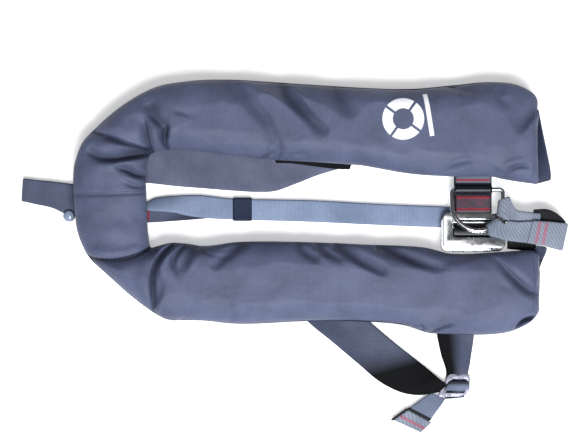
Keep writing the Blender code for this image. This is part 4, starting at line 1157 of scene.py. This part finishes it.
    def edge_points(self, surface: Surface, height: float, lift: float) -> list[Vector]:
        """Follow the cover's outer rim at one height.

        Args:
            surface: the finished cover.
            height: in millimetres.
            lift: distance off the cloth, in metres.

        Returns:
            Places from the upper lobe's end to the lower one's.
        """
        rows = smoothed([(a, b, 0, c, d, 0, e) for a, b, c, d, e in self.stations[2:-2]], 4.0) * MM
        found = []
        for row in rows:
            inner, outer = Vector((*row[:2], height * MM)), Vector((*row[3:5], height * MM))
            way = inner - outer
            hit = surface.side(outer - way * 0.4, way, lift)
            if hit is not None:
                found.append(hit)
        return found

    def trim(self, surface: Surface) -> None:
        """Add the closing hem round the outer rim, its stitches, the seams and the end gussets."""
        rims = [self.edge_points(surface, height, 1.0 * MM) for height in (13, 25)]
        count = min(len(r) for r in rims)
        edges = [(*(a / MM), *(b / MM)) for a, b in zip(rims[0][:count:2], rims[1][:count:2])]
        Strip("cover_closing_hem", edges, "hem", 1.3 * MM, 3.0 * MM, 8).lay(None)
        rows = [self.edge_points(surface, height, 1.7 * MM) for height in (15, 23)]
        settle(STITCHES.sew("hem_stitches", rows, "thread_navy"), None)
        seams = [[surface.drop(x, y, 0.1) for x, y in segment(line, 3)] for line in (
            ((42, 3.1), (0, 1.6), (-41, 0.1)),
            ((504.5, 20), (506, 60), (504.5, 112)), ((504.5, -76), (506, -100), (504.5, -138)))]
        settle(STITCHES.sew("seam_stitches", seams, "thread_navy", thickness=0.6 * MM), None)
        upper = [(512, 100, 36, 511, 92, 18), (517, 76, 34, 511, 70, 14), (524, 48, 28, 511, 42, 11),
                 (530.5, 22, 17, 512, 16, 8), (531, 17, 12, 512, 12, 7)]
        lower = [(511, -62, 30, 508, -70, 18), (522, -63, 26, 511, -78, 12), (525, -66, 20, 511, -84, 10),
                 (519, -84, 15, 511, -98, 8), (513, -104, 12, 509, -110, 8)]
        for name, edges in (("upper_end_gusset", upper), ("lower_end_gusset", lower)):
            Strip(name, edges, "gusset", 1.2 * MM, 2 * MM, 8).lay(Body.LOBES)


@dataclass
class BackPanel:
    """The mesh panels on the wearer's side, joined through the collar, with a bound edge."""

    cover: Cover
    inset: float = 6.0
    low: float = 0.5
    thickness: float = 1.6

    def build(self) -> None:
        """Make the panel sheet, its binding tape and the tape's stitches."""
        rows = []
        for a, b, c, d, _ in self.cover.stations[2:-2]:
            inner, outer = Vector((a, b)), Vector((c, d))
            way = (outer - inner).normalized() * self.inset
            inner, outer = inner + way, outer - way
            rows.append((*inner, self.low + self.thickness / 2, *outer, self.low + self.thickness / 2))
        panel = Strip("back_panel", rows, "panel", self.thickness * MM, 4 * MM, 26).build()
        settle(panel, None, ("back_panel_upper", "back_panel_lower", "back_panel_collar"))
        for side, name in ((0, "inner"), (3, "outer")):
            edge, other = [r[side:side + 2] for r in rows], [r[3 - side:5 - side] for r in rows]
            tape = []
            for (x, y), (p, q) in zip(edge, other):
                way = (Vector((p, q)) - Vector((x, y))).normalized()
                tape.append((x - way.x * 0.8, y - way.y * 0.8, 1.15, x + way.x * 6.5, y + way.y * 6.5, 1.15))
            piece = Strip(f"panel_binding_{name}", tape, "hem", 2.3 * MM, 3 * MM, 6).build()
            settle(piece, None)
            line = smoothed(np.array(tape) * MM, 5 * MM)
            seam = [(*(row[:2] * 0.25 + row[3:5] * 0.75), 0.1 * MM) for row in line]
            sewn = STITCHES.sew(f"binding_stitches_{name}", [seam], "thread_grey")
            settle(sewn, None)


@dataclass
class Bladder:
    """The flat-folded bladder inside the cover, from one lobe through the collar to the other."""

    cover: Cover
    inset: float = 21.0
    height: float = 17.0
    thickness: float = 13.0

    def build(self) -> None:
        """Make the folded stack as one soft piece."""
        rows = []
        for a, b, c, d, _ in self.cover.stations[4:-4]:
            inner, outer = Vector((a, b)), Vector((c, d))
            way = (outer - inner).normalized() * self.inset
            rows.append((*(inner + way), self.height, *(outer - way), self.height))
        obj = Strip("bladder_folded", rows, "bladder", self.thickness * MM, 4 * MM, 16).build()
        settle(obj, None, ("bladder_upper", "bladder_lower", "bladder_collar"))


# ---- straps -------------------------------------------------------------------------------------

def level(points: Sequence[tuple[float, float, float, float]], height: float) -> list[tuple[float, ...]]:
    """Give plan edges one height.

    Args:
        points: rows of one edge's x and y and the other's, in millimetres.
        height: in millimetres.

    Returns:
        Rows of six for a Strip.
    """
    return [(a, b, height, c, d, height) for a, b, c, d in points]


@dataclass
class BackStraps:
    """The straps behind and between the lobes, and the stub and light at the nape."""

    belt_z: float = 3.1
    centre_z: float = 5.3

    def neck(self) -> None:
        """Make the folded webbing stub and the light beside it."""
        top = [(-103.5, 19, 7.0, -105.5, -9, 6.6), (-90, 17.4, 7.6, -92, -12, 7.2), (-70, 15.4, 7.6, -71, -16.6, 7.0),
               (-50, 13, 7.2, -53, -24.5, 6.0), (-36, 11.5, 6.8, -40, -27, 5.6)]
        under = [(-104.5, 19, 4.0, -106.5, -9, 4.0), (-90, 17.4, 3.2, -92, -12, 3.2), (-70, 15, 3.2, -71, -16, 3.2),
                 (-36, 11.0, 3.2, -36, -20, 3.2)]
        fold = [(-103.5, 19, 7.0, -105.5, -9, 6.6), (-105.3, 19, 6.2, -107.2, -9, 5.9),
                (-105.6, 19, 5.0, -107.4, -9, 5.0), (-104.5, 19, 4.0, -106.5, -9, 4.0)]
        rows = top[::-1] + fold[1:-1] + under
        Strip("neck_strap_loop", rows, "stub_webbing", rib=0.16 * MM, pitch=2.9 * MM, step=0.9 * MM,
              across=14).lay(Body.COLLAR, ("neck_strap",))
        low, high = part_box("light_lens")
        middle = [(a + b) / 2 for a, b in zip(low, high)]
        dome = [(0, 2.6), (3, 2.4), (5.6, 1.2), (6.4, 0), (6.4, -2.4), (0, -2.4)]
        foot = [(0, -2.4), (6.8, -2.4), (7.2, -2.8), (7.2, -5.0), (0, -5.0)]
        for node, finish, slot, points in (("light_lens", "lens", "lens_plastic", dome),
                                           ("light_body", "black", "black_plastic", foot)):
            profile = [(radius * MM, middle[2] + z * MM) for radius, z in points]
            settle(turned(node + "_detailed", profile, middle, finish), Body.COLLAR, (node,))

    def centre(self) -> None:
        """Make the narrow strap, the doubled layer at its start, and its red tack."""
        z = self.centre_z
        rows = [(20, -10, 4.8, 20, -22, 6.0), (43, -9, 4.8, 43, -19.5, 6.0), (52, -4.8, 4.9, 52, -20.6, 5.9),
                (64, -2.6, 5.0, 64, -21.2, 5.8), (78, -1.6, 5.1, 78, -22.6, 5.6), (92, -1.0, z, 92, -26, 5.4),
                (108, -1, z, 108, -28.4, z), (145, -5, z, 145, -30.6, z), (200, -6.4, z, 200, -32.2, z),
                (232, -7, z, 232, -33, z), (238, -7.2, z + .5, 238, -33.3, z + .5), (246, -7.4, z, 246, -33.6, z),
                (330, -12.0, z, 330, -37.5, z), (380, -13.9, z, 380, -39.5, z), (434, -15.6, z, 434, -41, z)]
        # Painted shade darkens the first third of the strap, by the collar, most along its upper edge.
        Strip("centre_strap_webbing", rows, "grey_webbing", rib=0.07 * MM, pitch=2.4 * MM, step=1.2 * MM,
              shade=(0.30, 0.0, 1.15, 0.15)).lay(None, ("centre_strap",))
        z = 1.6
        rows = [(24, -16, z, 24, -33, z), (46, -18, z, 46, -34.4, z), (70, -19, z, 70, -33, z),
                (92, -20, z, 92, -31.4, z), (112, -22, z + 0.2, 114, -29.6, z + 0.2)]
        # Painted shade darkens the doubled layer more and more along its length.
        Strip("centre_strap_doubling", rows, "stub_webbing", 1.4 * MM, rib=0.1 * MM, pitch=2.6 * MM,
              shade=(0.0, 1.0, 0.3, 1.1)).lay(None)
        tack = [[(x * MM, y * MM, 2.55 * MM) for y in (-18.5, -31.5)] for x in (44.6, 46.0)]
        settle(STITCHES.sew("centre_tack", tack, "thread_red", 1.0 * MM, 2.2 * MM, 0.8 * MM, 0.5), None)

    def keeper(self) -> None:
        """Make the elastic keeper that slides along the centre strap."""
        low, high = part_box("strap_keeper")
        x0, x1 = low[0] / MM + 0.8, high[0] / MM - 0.8
        y0, y1, z0, z1 = low[1] / MM + 1.4, high[1] / MM - 1.4, low[2] / MM + 0.5, high[2] / MM - 0.4
        loop = [(y1, z0), (y1 + 0.75, (z0 + z1) / 2), (y1, z1), (y1 - 6, z1 + 0.1), (y0 + 6, z1 + 0.1), (y0, z1),
                (y0 - 0.75, (z0 + z1) / 2), (y0, z0), (y0 + 6, z0), (y1 - 6, z0), (y1 - 0.4, z0)]
        rows = [(x0 + 0.6, y - 0.1, z, x1, y - 0.1, z) for y, z in loop]
        Strip("elastic_keeper", rows, "elastic", 1.0 * MM, 0.7 * MM, 10).lay(
            Body.KEEPER, ("strap_keeper",))

    def shoulder(self) -> None:
        """Make the wide band behind the upper lobe, and a dark strip between the two."""
        rows = level([(20, 52, 22, 14), (44, 60, 44, 13.4), (80, 58, 80, 9.6), (115, 55, 115, 6.8),
                      (148, 50, 148, 4.2), (176, 48, 177, 2.6), (196, 48, 198, 3.6), (220, 54, 224, 12.6),
                      (240, 63, 250, 22.8), (268, 74, 284, 33), (300, 84, 312, 42), (345, 92, 352, 50),
                      (420, 106, 430, 62)], self.belt_z)
        Strip("shoulder_band_webbing", rows, "slate_webbing", rib=0.05 * MM, pitch=1.8 * MM,
              across=22).lay(None, ("shoulder_band",))
        rows = [(198, 42, 4.4, 200, 37.6, 4.4), (215, 46, 4.4, 216, 37.4, 4.4), (245, 43, 4.4, 247, 33.5, 4.4),
                (270, 40, 4.4, 271, 30.6, 4.4), (292, 38, 4.4, 289, 29.8, 4.4)]
        Strip("upper_lobe_dark_strip", rows, "hook", 0.7 * MM).lay(Body.LOBES)

    def build(self) -> None:
        """Make them all."""
        self.neck()
        self.centre()
        self.keeper()
        self.shoulder()


def turned(name: str, profile: Sequence[tuple[float, float]], middle: Sequence[float],
           finish: str, steps: int = 40) -> bpy.types.Object:
    """Turn a profile round the vertical through a place.

    Args:
        name: the piece's name.
        profile: radius and height of each point, in metres; the first and last lie on the axis.
        middle: the axis's place in metres.
        finish: the finish's key.
        steps: points round it.

    Returns:
        The turned piece.
    """
    bm = bmesh.new()
    ends = [bm.verts.new((middle[0], middle[1], profile[i][1])) for i in (0, -1)]
    rings = [[bm.verts.new((middle[0] + r * math.cos(2 * math.pi * k / steps),
                            middle[1] + r * math.sin(2 * math.pi * k / steps), z)) for k in range(steps)]
             for r, z in profile[1:-1]]
    for first, second in zip(rings, rings[1:]):
        for k in range(steps):
            bm.faces.new((first[k], first[(k + 1) % steps], second[(k + 1) % steps], second[k]))
    for ring, end in ((rings[0], ends[0]), (rings[-1], ends[1])):
        for k in range(steps):
            bm.faces.new((ring[k], ring[(k + 1) % steps], end))
    bmesh.ops.recalc_face_normals(bm, faces=bm.faces)
    mesh = bpy.data.meshes.new(name)
    bm.to_mesh(mesh)
    bm.free()
    mesh.materials.append(WARDROBE.get(finish))
    mesh.shade_smooth()
    mesh.set_sharp_from_angle(angle=SHARP_EDGE)
    return linked(name, mesh)


@dataclass
class WaistStraps:
    """The wide waist belt, the side strap, its slider and the stitched tail."""

    belt_z: float = 3.1

    def belt(self) -> None:
        """Make the wide belt that curls up towards the slider."""
        z = self.belt_z
        rows = [(226, -140, z, 296, -140, z), (240, -156, z, 317, -157.5, z), (268, -179, z, 340, -177, z),
                (300, -206, z, 362, -194.5, z), (323, -225.5, z, 380, -208.5, z + 2),
                (340, -235.5, z, 391, -217.5, z + 5),
                (355, -241.2, z + .5, 397, -222.5, z + 8), (370, -243.4, z + 1, 401, -225.5, z + 9),
                (384, -242.4, z + 1.2, 404, -227.6, z + 8.5), (397, -239.6, z + 1.2, 406, -230.5, z + 6)]
        # Painted shade turns the belt black from about halfway along, where it curls up towards the slider.
        Strip("waist_belt_webbing", rows, "belt_webbing", rib=0.05 * MM, pitch=1.8 * MM, across=22,
              shade=(0.42, 0.72, 1.2, 1.2)).lay(Body.LOBES, ("waist_belt",))

    def side(self) -> None:
        """Make the side strap down to the slider and round its bars."""
        z = self.belt_z
        rows = [(390, -140, z, 438, -140, z), (394, -166, z, 440, -166, z), (400, -195, z, 436, -195, z + 3),
                (406, -215, z, 432.5, -215, z + 2.5), (405.5, -222, z, 430, -222, z + .8),
                (404, -248, z, 428, -246, z)]
        # Painted shade darkens the strap's left side, which turns away from the light.
        Strip("side_strap_webbing", rows, "belt_webbing", rib=0.05 * MM, pitch=1.8 * MM, across=18,
              crown=2.0 * MM, shade=(-1.0, -0.9, 1.9, -0.9)).lay(Body.LOBES, ("side_strap",))

    def slider(self) -> None:
        """Make the satin three-bar slider with its slanted rail, and the webbing bulge it grips."""
        low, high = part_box("slider")
        x0, y0, x1, y1 = low[0] / MM, low[1] / MM, high[0] / MM, high[1] / MM
        base = high[2] / MM
        outer = [(x0 + 14, y1), (x1 - 3, y1), (x1 - 0.6, y1 - 2), (x1, y1 - 6), (x1 - 0.5, y0 + 9),
                 (x1 - 5, y0 + 2.5),
                 (x1 - 11, y0), (x0 + 1.5, y0 - 1), (x0 - 0.5, y0 + 1), (x0, y0 + 3), (x0 + 10.5, y1 - 3)]
        upper = [(x0 + 17, y1 - 6.6), (x1 - 4.4, y1 - 6.6), (x1 - 4.4, y1 - 9.4), (x0 + 15.5, y1 - 9.4)]
        under = [(x0 + 10.5, y0 + 8.2), (x1 - 5.5, y0 + 8.2), (x1 - 8, y0 + 5), (x0 + 8.6, y0 + 5)]
        frame_piece = plate("belt_slider", [outer, upper[::-1], under[::-1]], base - 2.6, 2.6, 0.9, "slider")
        settle(frame_piece, Body.SLIDER, ("slider",))
        a, b = x0 + 13, x1 - 2
        # Left end, right end, distance below the top edge, and height off the slider's face.
        bulge = [(a + 1, b + .5, 8.6, -3.2), (a, b, 9.4, 1.2), (a - 2, b + .3, 12, 2.8),
                 (a - 5, b, 17, 2.6), (a - 6.5, b - 2.2, 19.6, 1.0), (a - 6.8, b - 3, 20.4, -3)]
        rows = [(left, y1 - down, base + lift, right, y1 - down, base + lift) for left, right, down, lift in bulge]
        # Painted shade darkens the bulge's first part, by the slider's upper bar.
        Strip("slider_webbing", rows, "tail_webbing", rib=0.06 * MM, pitch=2.2 * MM, step=1.0 * MM,
              shade=(0.55, 0.3, 0.9, 0.9)).lay(Body.SLIDER)

    def tail(self) -> None:
        """Make the strap's free end, its dark band, the end tab and the pink stitches."""
        z = 5.4
        rows = level([(388, -240.5, 405, -247.5), (382, -243.6, 401.5, -253), (372, -250.6, 394.5, -262.5),
                      (361, -258.6, 387, -272.8)], z)
        Strip("strap_tail_webbing", rows, "tail_webbing", rib=0.06 * MM, pitch=2.2 * MM).lay(
            Body.LOBES, ("strap_tail",))
        rows = level([(360.8, -257.6, 388.6, -272.0), (357.6, -260.0, 385.4, -274.6)], z)
        Strip("tail_band_elastic", rows, "black_webbing", 2.6 * MM, 0.8 * MM, 14).lay(
            Body.LOBES, ("tail_band",))
        rows = level([(359, -260.4, 388, -276.2), (352, -265.4, 383.6, -280.4), (340.5, -272.6, 375, -288.4)], z)
        Strip("tail_end_tab", rows, "twill_webbing", 2.8 * MM, rib=0.1 * MM, pitch=2.6 * MM,
              round_ends=0.8 * MM).lay(Body.LOBES, ("tail_tab",))
        rows = level([(357.5, -258.8, 360, -261.0), (348, -265.6, 350.5, -267.4), (338.6, -272.6, 341.6, -274.2)], z)
        Strip("tail_tab_edge", rows, "black_webbing", 3.2 * MM, 0.8 * MM, 6).lay(Body.LOBES)
        lines = [[(x * MM, y * MM, (z + 1.5) * MM) for x, y in ((350.5, -268.5 + d), (379, -283 + d))]
                 for d in (0.9, -0.9)]
        settle(STITCHES.sew("tail_stitches", lines, "thread_pink", 1.2 * MM, 2.6 * MM, 0.8 * MM, 0.9), Body.LOBES)

    def build(self) -> None:
        """Make them all."""
        self.belt()
        self.side()
        self.slider()
        self.tail()


# ---- chest gear ---------------------------------------------------------------------------------

@dataclass
class ChestGear:
    """The chest webbing, the two buckle halves, the D-ring and the tether loop."""

    web_low: float = 413.2
    web_high: float = 458.2
    ring_middle: tuple[float, float, float] = (440.5, 5.0, 26.0)
    ring_arm: float = 30.8
    ring_depth: float = 19.0
    ring_wire: float = 2.8
    ring_tilt: float = math.radians(12)

    def across(self, path: Sequence[tuple[float, float]], shift: float = 0.0) -> list[tuple[float, ...]]:
        """Lay webbing along a side-on path, at full width across it."""
        return [(self.web_low + shift, y, z, self.web_high + shift, y, z) for y, z in path]

    def webbings(self) -> None:
        """Make the doubled chest webbing, the buckle's lower webbing and the dark end tab."""
        path = [(24, 22.9), (18, 22.9), (12, 22.95), (10.4, 23.4), (9.3, 25.2), (8.4, 28.2), (5, 30.1), (1.6, 28.2),
                (0.7, 25.2), (-0.6, 23.4), (-2.4, 22.95), (-14, 22.9), (-19, 23.3), (-21.4, 23.6), (-22.6, 22.4),
                (-22.8, 20.6), (-23.6, 19.3), (-30.8, 19.2), (-32.0, 18.8), (-32.0, 17.8), (-30.6, 17.5),
                (-23.0, 17.6), (-20.4, 19.0), (-17.5, 20.9), (-14, 21.2), (24, 21.2)]
        Strip("chest_webbing_satin", self.across(path), "dark_webbing", 1.55 * MM, 0.9 * MM, 20).lay(
            Body.CHEST, ("chest_webbing",))
        rows = [(414.2, y, z, 457.4, y, z) for y, z in ((22, 24.6), (17, 24.5), (13.6, 24.3))]
        # Painted shade darkens this end evenly, halfway to the shade colour.
        Strip("chest_webbing_end", rows, "twill_webbing", 1.5 * MM, shade=(-1, -0.9, 0.5, 0.5)).lay(
            Body.CHEST)
        rows = [(414.6, y, z, 457.0, y, z) for y, z in ((-1.9, 24.35), (-10, 24.4), (-20.6, 24.5))]
        Strip("chest_box_patch", rows, "patch_webbing", 1.4 * MM, round_ends=0.6 * MM).lay(Body.CHEST)
        path = [(-69.5, 13.2), (-55, 13.2), (-52, 14.2), (-50.4, 16.2), (-50, 17.8), (-48.6, 18.8), (-46, 19.1),
                (-43.4, 18.8), (-42, 17.6), (-41.7, 15.2), (-42.6, 12.9), (-45.5, 11.6), (-69.5, 11.6)]
        Strip("buckle_webbing_satin", self.across(path, -1), "dark_webbing", 1.55 * MM, 0.9 * MM, 20).lay(
            Body.LOBES, ("buckle_webbing",))
        rows = [(478, -52, 15.6, 478, -66, 15.2), (496, -53.5, 16.6, 496, -68, 16.0),
                (512, -54.5, 16.4, 513, -70.5, 15.8)]
        Strip("belt_end_webbing", rows, "black_webbing", 3.0 * MM, round_ends=1.0 * MM).lay(
            Body.LOBES, ("belt_end_tab",))
        # Painted shade: a black sheet under the buckle that darkens the gap seen through its frame.
        rows = [(415, y, 10.2, 466, y, 10.2) for y in (-30, -50, -69)]
        Strip("buckle_shade_sheet", rows, "black_webbing", 1.2 * MM, round_ends=0.6 * MM).lay(
            Body.LOBES)

    def stitches(self) -> None:
        """Sew the red rows and the crossed box on the chest webbing."""
        def row(y: float, z: float = 25.3, x0: float = 416.5, x1: float = 455.0) -> list[tuple[float, ...]]:
            return [(x0 * MM, y * MM, z * MM), (x1 * MM, y * MM, z * MM)]

        dense = [row(-3.4, 25.05), row(-4.9, 25.05), row(-17.6, 25.15), row(-19.2, 25.15), row(17.2, 25.25),
                 row(15.9, 25.2)]
        settle(STITCHES.sew("chest_tack_red", dense, "thread_red", 0.95 * MM, 2.3 * MM, 0.75 * MM, 0.75),
               Body.CHEST)
        crosses = []
        for start in (418, 436):
            for low, high in ((-5.6, -16.6), (-16.6, -5.6)):
                crosses.append([(start * MM, low * MM, 25.15 * MM), ((start + 16.5) * MM, high * MM, 25.15 * MM)])
        settle(STITCHES.sew("chest_box_crosses", crosses, "thread_red", 1.9 * MM, 1.5 * MM, 0.7 * MM),
               Body.CHEST)
        filling = [row(-6.5 - 1.6 * i, 25.0) for i in range(7)]
        settle(STITCHES.sew("chest_box_filling", filling, "thread_grey", 1.5 * MM, 1.4 * MM, 0.55 * MM, 0.8),
               Body.CHEST)

    def buckle(self) -> None:
        """Make the buckle's plate and frame in polished steel."""
        def corners(node: str) -> tuple[tuple[float, float], tuple[float, float], float, float]:
            low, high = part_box(node)
            return ((low[0] / MM, low[1] / MM), (high[0] / MM, high[1] / MM), low[2] / MM, (high[2] - low[2]) / MM)

        low, high, bottom, thick = corners("buckle_plate")
        hole = rounded_outline((low[0] + 12, low[1] + 13), (high[0] - 12, high[1] - 8), 2.5)
        outlines = [rounded_outline(low, high, 7), hole[::-1]]
        obj = plate("buckle_plate_polished", outlines, bottom, thick, 0.9, "polished")
        settle(obj, Body.CHEST, ("buckle_plate",))
        low, high, bottom, thick = corners("buckle_frame")
        holes = [rounded_outline((low[0] + 12, a), (high[0] - 12, b), 1.5)[::-1]
                 for a, b in ((high[1] - 16, high[1] - 8), (low[1] + 8, high[1] - 22))]
        outlines = [rounded_outline(low, high, 7), *holes]
        obj = plate("buckle_frame_polished", outlines, bottom, thick, 0.9, "polished")
        settle(obj, Body.LOBES, ("buckle_frame",))

    def ring_frame(self) -> Matrix:
        """Give the D-ring's own frame."""
        return Matrix.Translation(Vector(self.ring_middle) * MM) @ Matrix.Rotation(-self.ring_tilt, 4, "X")

    def wire(self, turn: float, out: float = 0.0, up: float = 0.0) -> Vector:
        """Find a place by the ring's bow, in millimetres.

        Args:
            turn: angle round the bow in radians; 0 points along +X.
            out: distance outwards from the wire's centre.
            up: distance square to the ring.

        Returns:
            The place in the part's frame, in millimetres.
        """
        far = self.ring_arm + out
        local = Vector((far * math.cos(turn), -self.ring_depth + far * math.sin(turn), up)) * MM
        return self.ring_frame() @ local / MM

    def ring(self) -> None:
        """Make the D-ring."""
        corner = self.ring_wire + 2.2
        points = []
        for quarter, side in ((0, 1), (1, -1)):
            for i in range(9):
                turn = math.pi / 2 * (quarter + i / 8)
                points.append(Vector((side * (self.ring_arm - corner) + corner * math.cos(turn),
                                      -corner + corner * math.sin(turn), 0)))
        points += [Vector((self.ring_arm * math.cos(t), -self.ring_depth + self.ring_arm * math.sin(t), 0))
                   for t in (math.pi + math.pi * i / 72 for i in range(73))]
        places = [self.ring_frame() @ (p * MM) for p in points]
        ring = tube("d_ring_polished", places, self.ring_wire * MM, "polished", cyclic=True, steps=7)
        settle(ring, Body.RING, ("d_ring",))

    def tether(self) -> None:
        """Make the tether loop's two legs, the sewn band, its backing and the pink bars."""
        wrap = self.ring_wire + 1.5
        round_wire = ((1.8, -1.0), (0.4, -1.15), (-0.75, -0.75), (-1.1, 0), (-0.75, 0.75), (0.2, 1.15), (1.7, 1.1))

        def leg(name: str, turns: tuple[float, float], over: Sequence[tuple[float, ...]],
                under: Sequence[tuple[float, ...]]) -> bpy.types.Object:
            rows = list(under)[::-1]
            for out, up in round_wire:
                ends = [self.wire(math.radians(t), out * wrap, up * wrap) for t in turns]
                rows.append((*ends[0], *ends[1]))
            rows += list(over)
            return Strip(name, rows, "twill_webbing", 1.5 * MM, 1.1 * MM, 14, rib=0.10 * MM, pitch=3.4 * MM,
                         skew=0.8).build()

        upper = leg("tether_leg_upper", (14, -30),
                    ((481, -11.5, 33.6, 479, -33, 34.5), (487, -19, 31.4, 487, -41, 31.2),
                     (500, -21.4, 28.6, 500, -46, 28.4), (516, -23, 26.6, 515, -50, 26.0)),
                    ((482, -13.0, 26.8, 480, -33, 27.6), (490, -22, 25.6, 489, -44, 25.2),
                     (508, -26, 23.8, 506, -49, 23.6)))
        settle(upper, Body.TETHER)
        lower = leg("tether_leg_lower", (-37, -70),
                    ((478, -32, 37.6, 469, -54.6, 38.0), (487, -33, 34.6, 484, -57, 34.4),
                     (503, -32.4, 31.0, 498, -58.6, 30.8), (526, -33, 28.6, 520, -62, 28.2),
                     (546, -35, 26.6, 540, -66.5, 26.0)),
                    ((478, -36, 31.2, 471, -53.0, 32.0), (490, -38, 27.4, 486, -56, 27.2),
                     (512, -42, 24.6, 508, -59, 24.4)))
        settle(lower, Body.TETHER, ("tether_loop",))
        rows = [(506, -31.6, 32.4, 499, -58.8, 32.2), (526, -32.8, 30.2, 520, -62.2, 29.9),
                (543, -34.4, 28.4, 537, -66.4, 27.9), (547.6, -35, 27.6, 540.6, -67.6, 27.0),
                (549.0, -35.2, 25.6, 542, -68, 25.2), (547.6, -35, 24.0, 540.6, -67.6, 23.6),
                (530, -34, 24.6, 524, -63.4, 24.2)]
        Strip("tether_band", rows, "twill_webbing", 1.5 * MM, 1.0 * MM, 16, rib=0.12 * MM, pitch=3.4 * MM,
              skew=0.8).lay(Body.TETHER)
        rows = [(508, -18.5, 25.0, 506, -36, 25.0), (526, -18.5, 24.4, 524, -38, 24.4),
                (540, -26, 23.4, 538, -42, 23.4), (547, -33, 22.8, 545, -44, 22.8)]
        Strip("tether_backing_webbing", rows, "black_webbing", 2.0 * MM, round_ends=0.8 * MM).lay(
            Body.TETHER, ("tether_backing",))
        bars = []
        for top, low in (((514.6, -34.0, 32.3), (509.6, -58.4, 32.0)), ((522.8, -35.0, 31.4), (518.0, -60.0, 31.0))):
            for shift in (-1.0, 1.0):
                bars.append([((top[0] + shift) * MM, top[1] * MM, top[2] * MM),
                             ((low[0] + shift) * MM, low[1] * MM, low[2] * MM)])
        settle(STITCHES.sew("tether_bars", bars, "thread_pink", 1.1 * MM, 2.3 * MM, 0.8 * MM, 0.7), Body.TETHER)

    def build(self) -> None:
        """Make them all."""
        self.webbings()
        self.stitches()
        self.buckle()
        self.ring()
        self.tether()


class InnerWorks:
    """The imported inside: CAD pieces that keep their shape and take a finish."""

    FINISH_BY_SLOT = {
        "bladder_fabric": "bladder", "hook_and_loop": "hook", "polished_steel": "polished", "satin_steel": "satin",
        "brass_pin": "brass", "black_plastic": "black", "yellow_plastic": "yellow", "red_plastic": "red",
        "orange_plastic": "orange", "lens_plastic": "lens", "pressed_paper": "paper", "cover_fabric": "hem",
        "panel_fabric": "panel", "grey_webbing": "grey_webbing", "dark_webbing": "dark_webbing", "elastic": "elastic"}

    def build(self) -> None:
        """Dress every CAD node that is still shown, by its own slot."""
        for part in frame["record"]["subparts"]:
            obj = bpy.data.objects.get(part["node"])
            if obj is None or obj.hide_render:
                continue
            key = self.FINISH_BY_SLOT.get(part.get("material_slot", ""), "black")
            obj.data.materials.clear()
            obj.data.materials.append(WARDROBE.get(key))
            LOG.info("%s wears %s", obj.name, key)


# ---- studio -------------------------------------------------------------------------------------

class Studio:
    """The pale floor, the soft lights and the camera straight above."""

    CENTRE = (215 * MM, -27 * MM)
    WIDE = 692 * MM
    LENS = 85.0
    SENSOR = 36.0
    # The camera stands this much above the distance that fits WIDE at floor level.
    STAND_OFF = 20 * MM
    FLOOR_REACH = 4.0
    FLOOR_DROP = 0.6 * MM
    # How much the floor shines by itself, so that its shadows stay pale.
    FLOOR_GLOW = 0.42
    SKY = 0.10
    # Each light's name, place from the centre in metres, side in metres, and power in watts.
    LIGHTS = (("key", (0.3, -1.1, 2.05), 1.1, 83), ("fill", (-0.3, -0.2, 2.6), 1.2, 7))

    def light(self, name: str, place: tuple[float, float, float], size: float, power: float) -> None:
        """Hang a soft square light that looks at the jacket.

        Args:
            name: the light's name.
            place: in metres.
            size: side in metres.
            power: in watts.
        """
        data = bpy.data.lights.new(name, "AREA")
        data.size, data.energy = size, power
        obj = linked(name, data)
        obj.location = place
        way = Vector((*self.CENTRE, 0)) - Vector(place)
        obj.rotation_euler = way.to_track_quat("-Z", "Y").to_euler()

    def build(self) -> None:
        """Set the floor, the lights and the camera."""
        mesh = bpy.data.meshes.new("floor")
        x, y = self.CENTRE
        corners = [(x + a * self.FLOOR_REACH, y + b * self.FLOOR_REACH, -self.FLOOR_DROP)
                   for a, b in ((-1, -1), (1, -1), (1, 1), (-1, 1))]
        mesh.from_pydata(corners, [], [(0, 1, 2, 3)])
        material, tree = new_material("matt_white_floor")
        place = add_node(tree, "ShaderNodeTexCoord").outputs["Object"]
        tone = blended(tree, reach(tree, blotches(tree, place, 0.3), 0.3, 0.7), linear("fafafa"), linear("f6f6f7"))
        shader = add_node(tree, "ShaderNodeBsdfPrincipled", {
            "Base Color": tone, "Roughness": 0.9, "Emission Strength": self.FLOOR_GLOW,
            "Emission Color": (1, 1, 1, 1)})
        add_node(tree, "ShaderNodeOutputMaterial", {0: shader.outputs[0]})
        mesh.materials.append(material)
        floor = linked("floor", mesh)
        for name, (dx, dy, z), size, power in self.LIGHTS:
            self.light(name, (x + dx, y + dy, z), size, power)
        world = bpy.data.worlds.new("studio")
        bpy.context.scene.world = world
        world.use_nodes = True
        background = world.node_tree.nodes["Background"]
        background.inputs[0].default_value = (1, 1, 1, 1)
        background.inputs[1].default_value = self.SKY
        bpy.context.scene.view_settings.view_transform = "Standard"
        camera = bpy.data.cameras.new("camera")
        camera.lens, camera.sensor_width = self.LENS, self.SENSOR
        obj = linked("camera", camera)
        obj.location = (x, y, self.WIDE * self.LENS / self.SENSOR + self.STAND_OFF)
        bpy.context.scene.camera = obj


def main() -> None:
    """Build the jacket, piece by piece."""
    logging.basicConfig(level=logging.INFO, format="%(message)s")
    cover = Cover()
    skin = cover.build()
    surface = Surface(skin)
    settle(skin, None, ("cover_upper_lobe", "cover_lower_lobe", "cover_collar"))
    cover.trim(surface)
    BackPanel(cover).build()
    Bladder(cover).build()
    BackStraps().build()
    WaistStraps().build()
    ChestGear().build()
    InnerWorks().build()
    Studio().build()


if __name__ == "__main__":
    main()
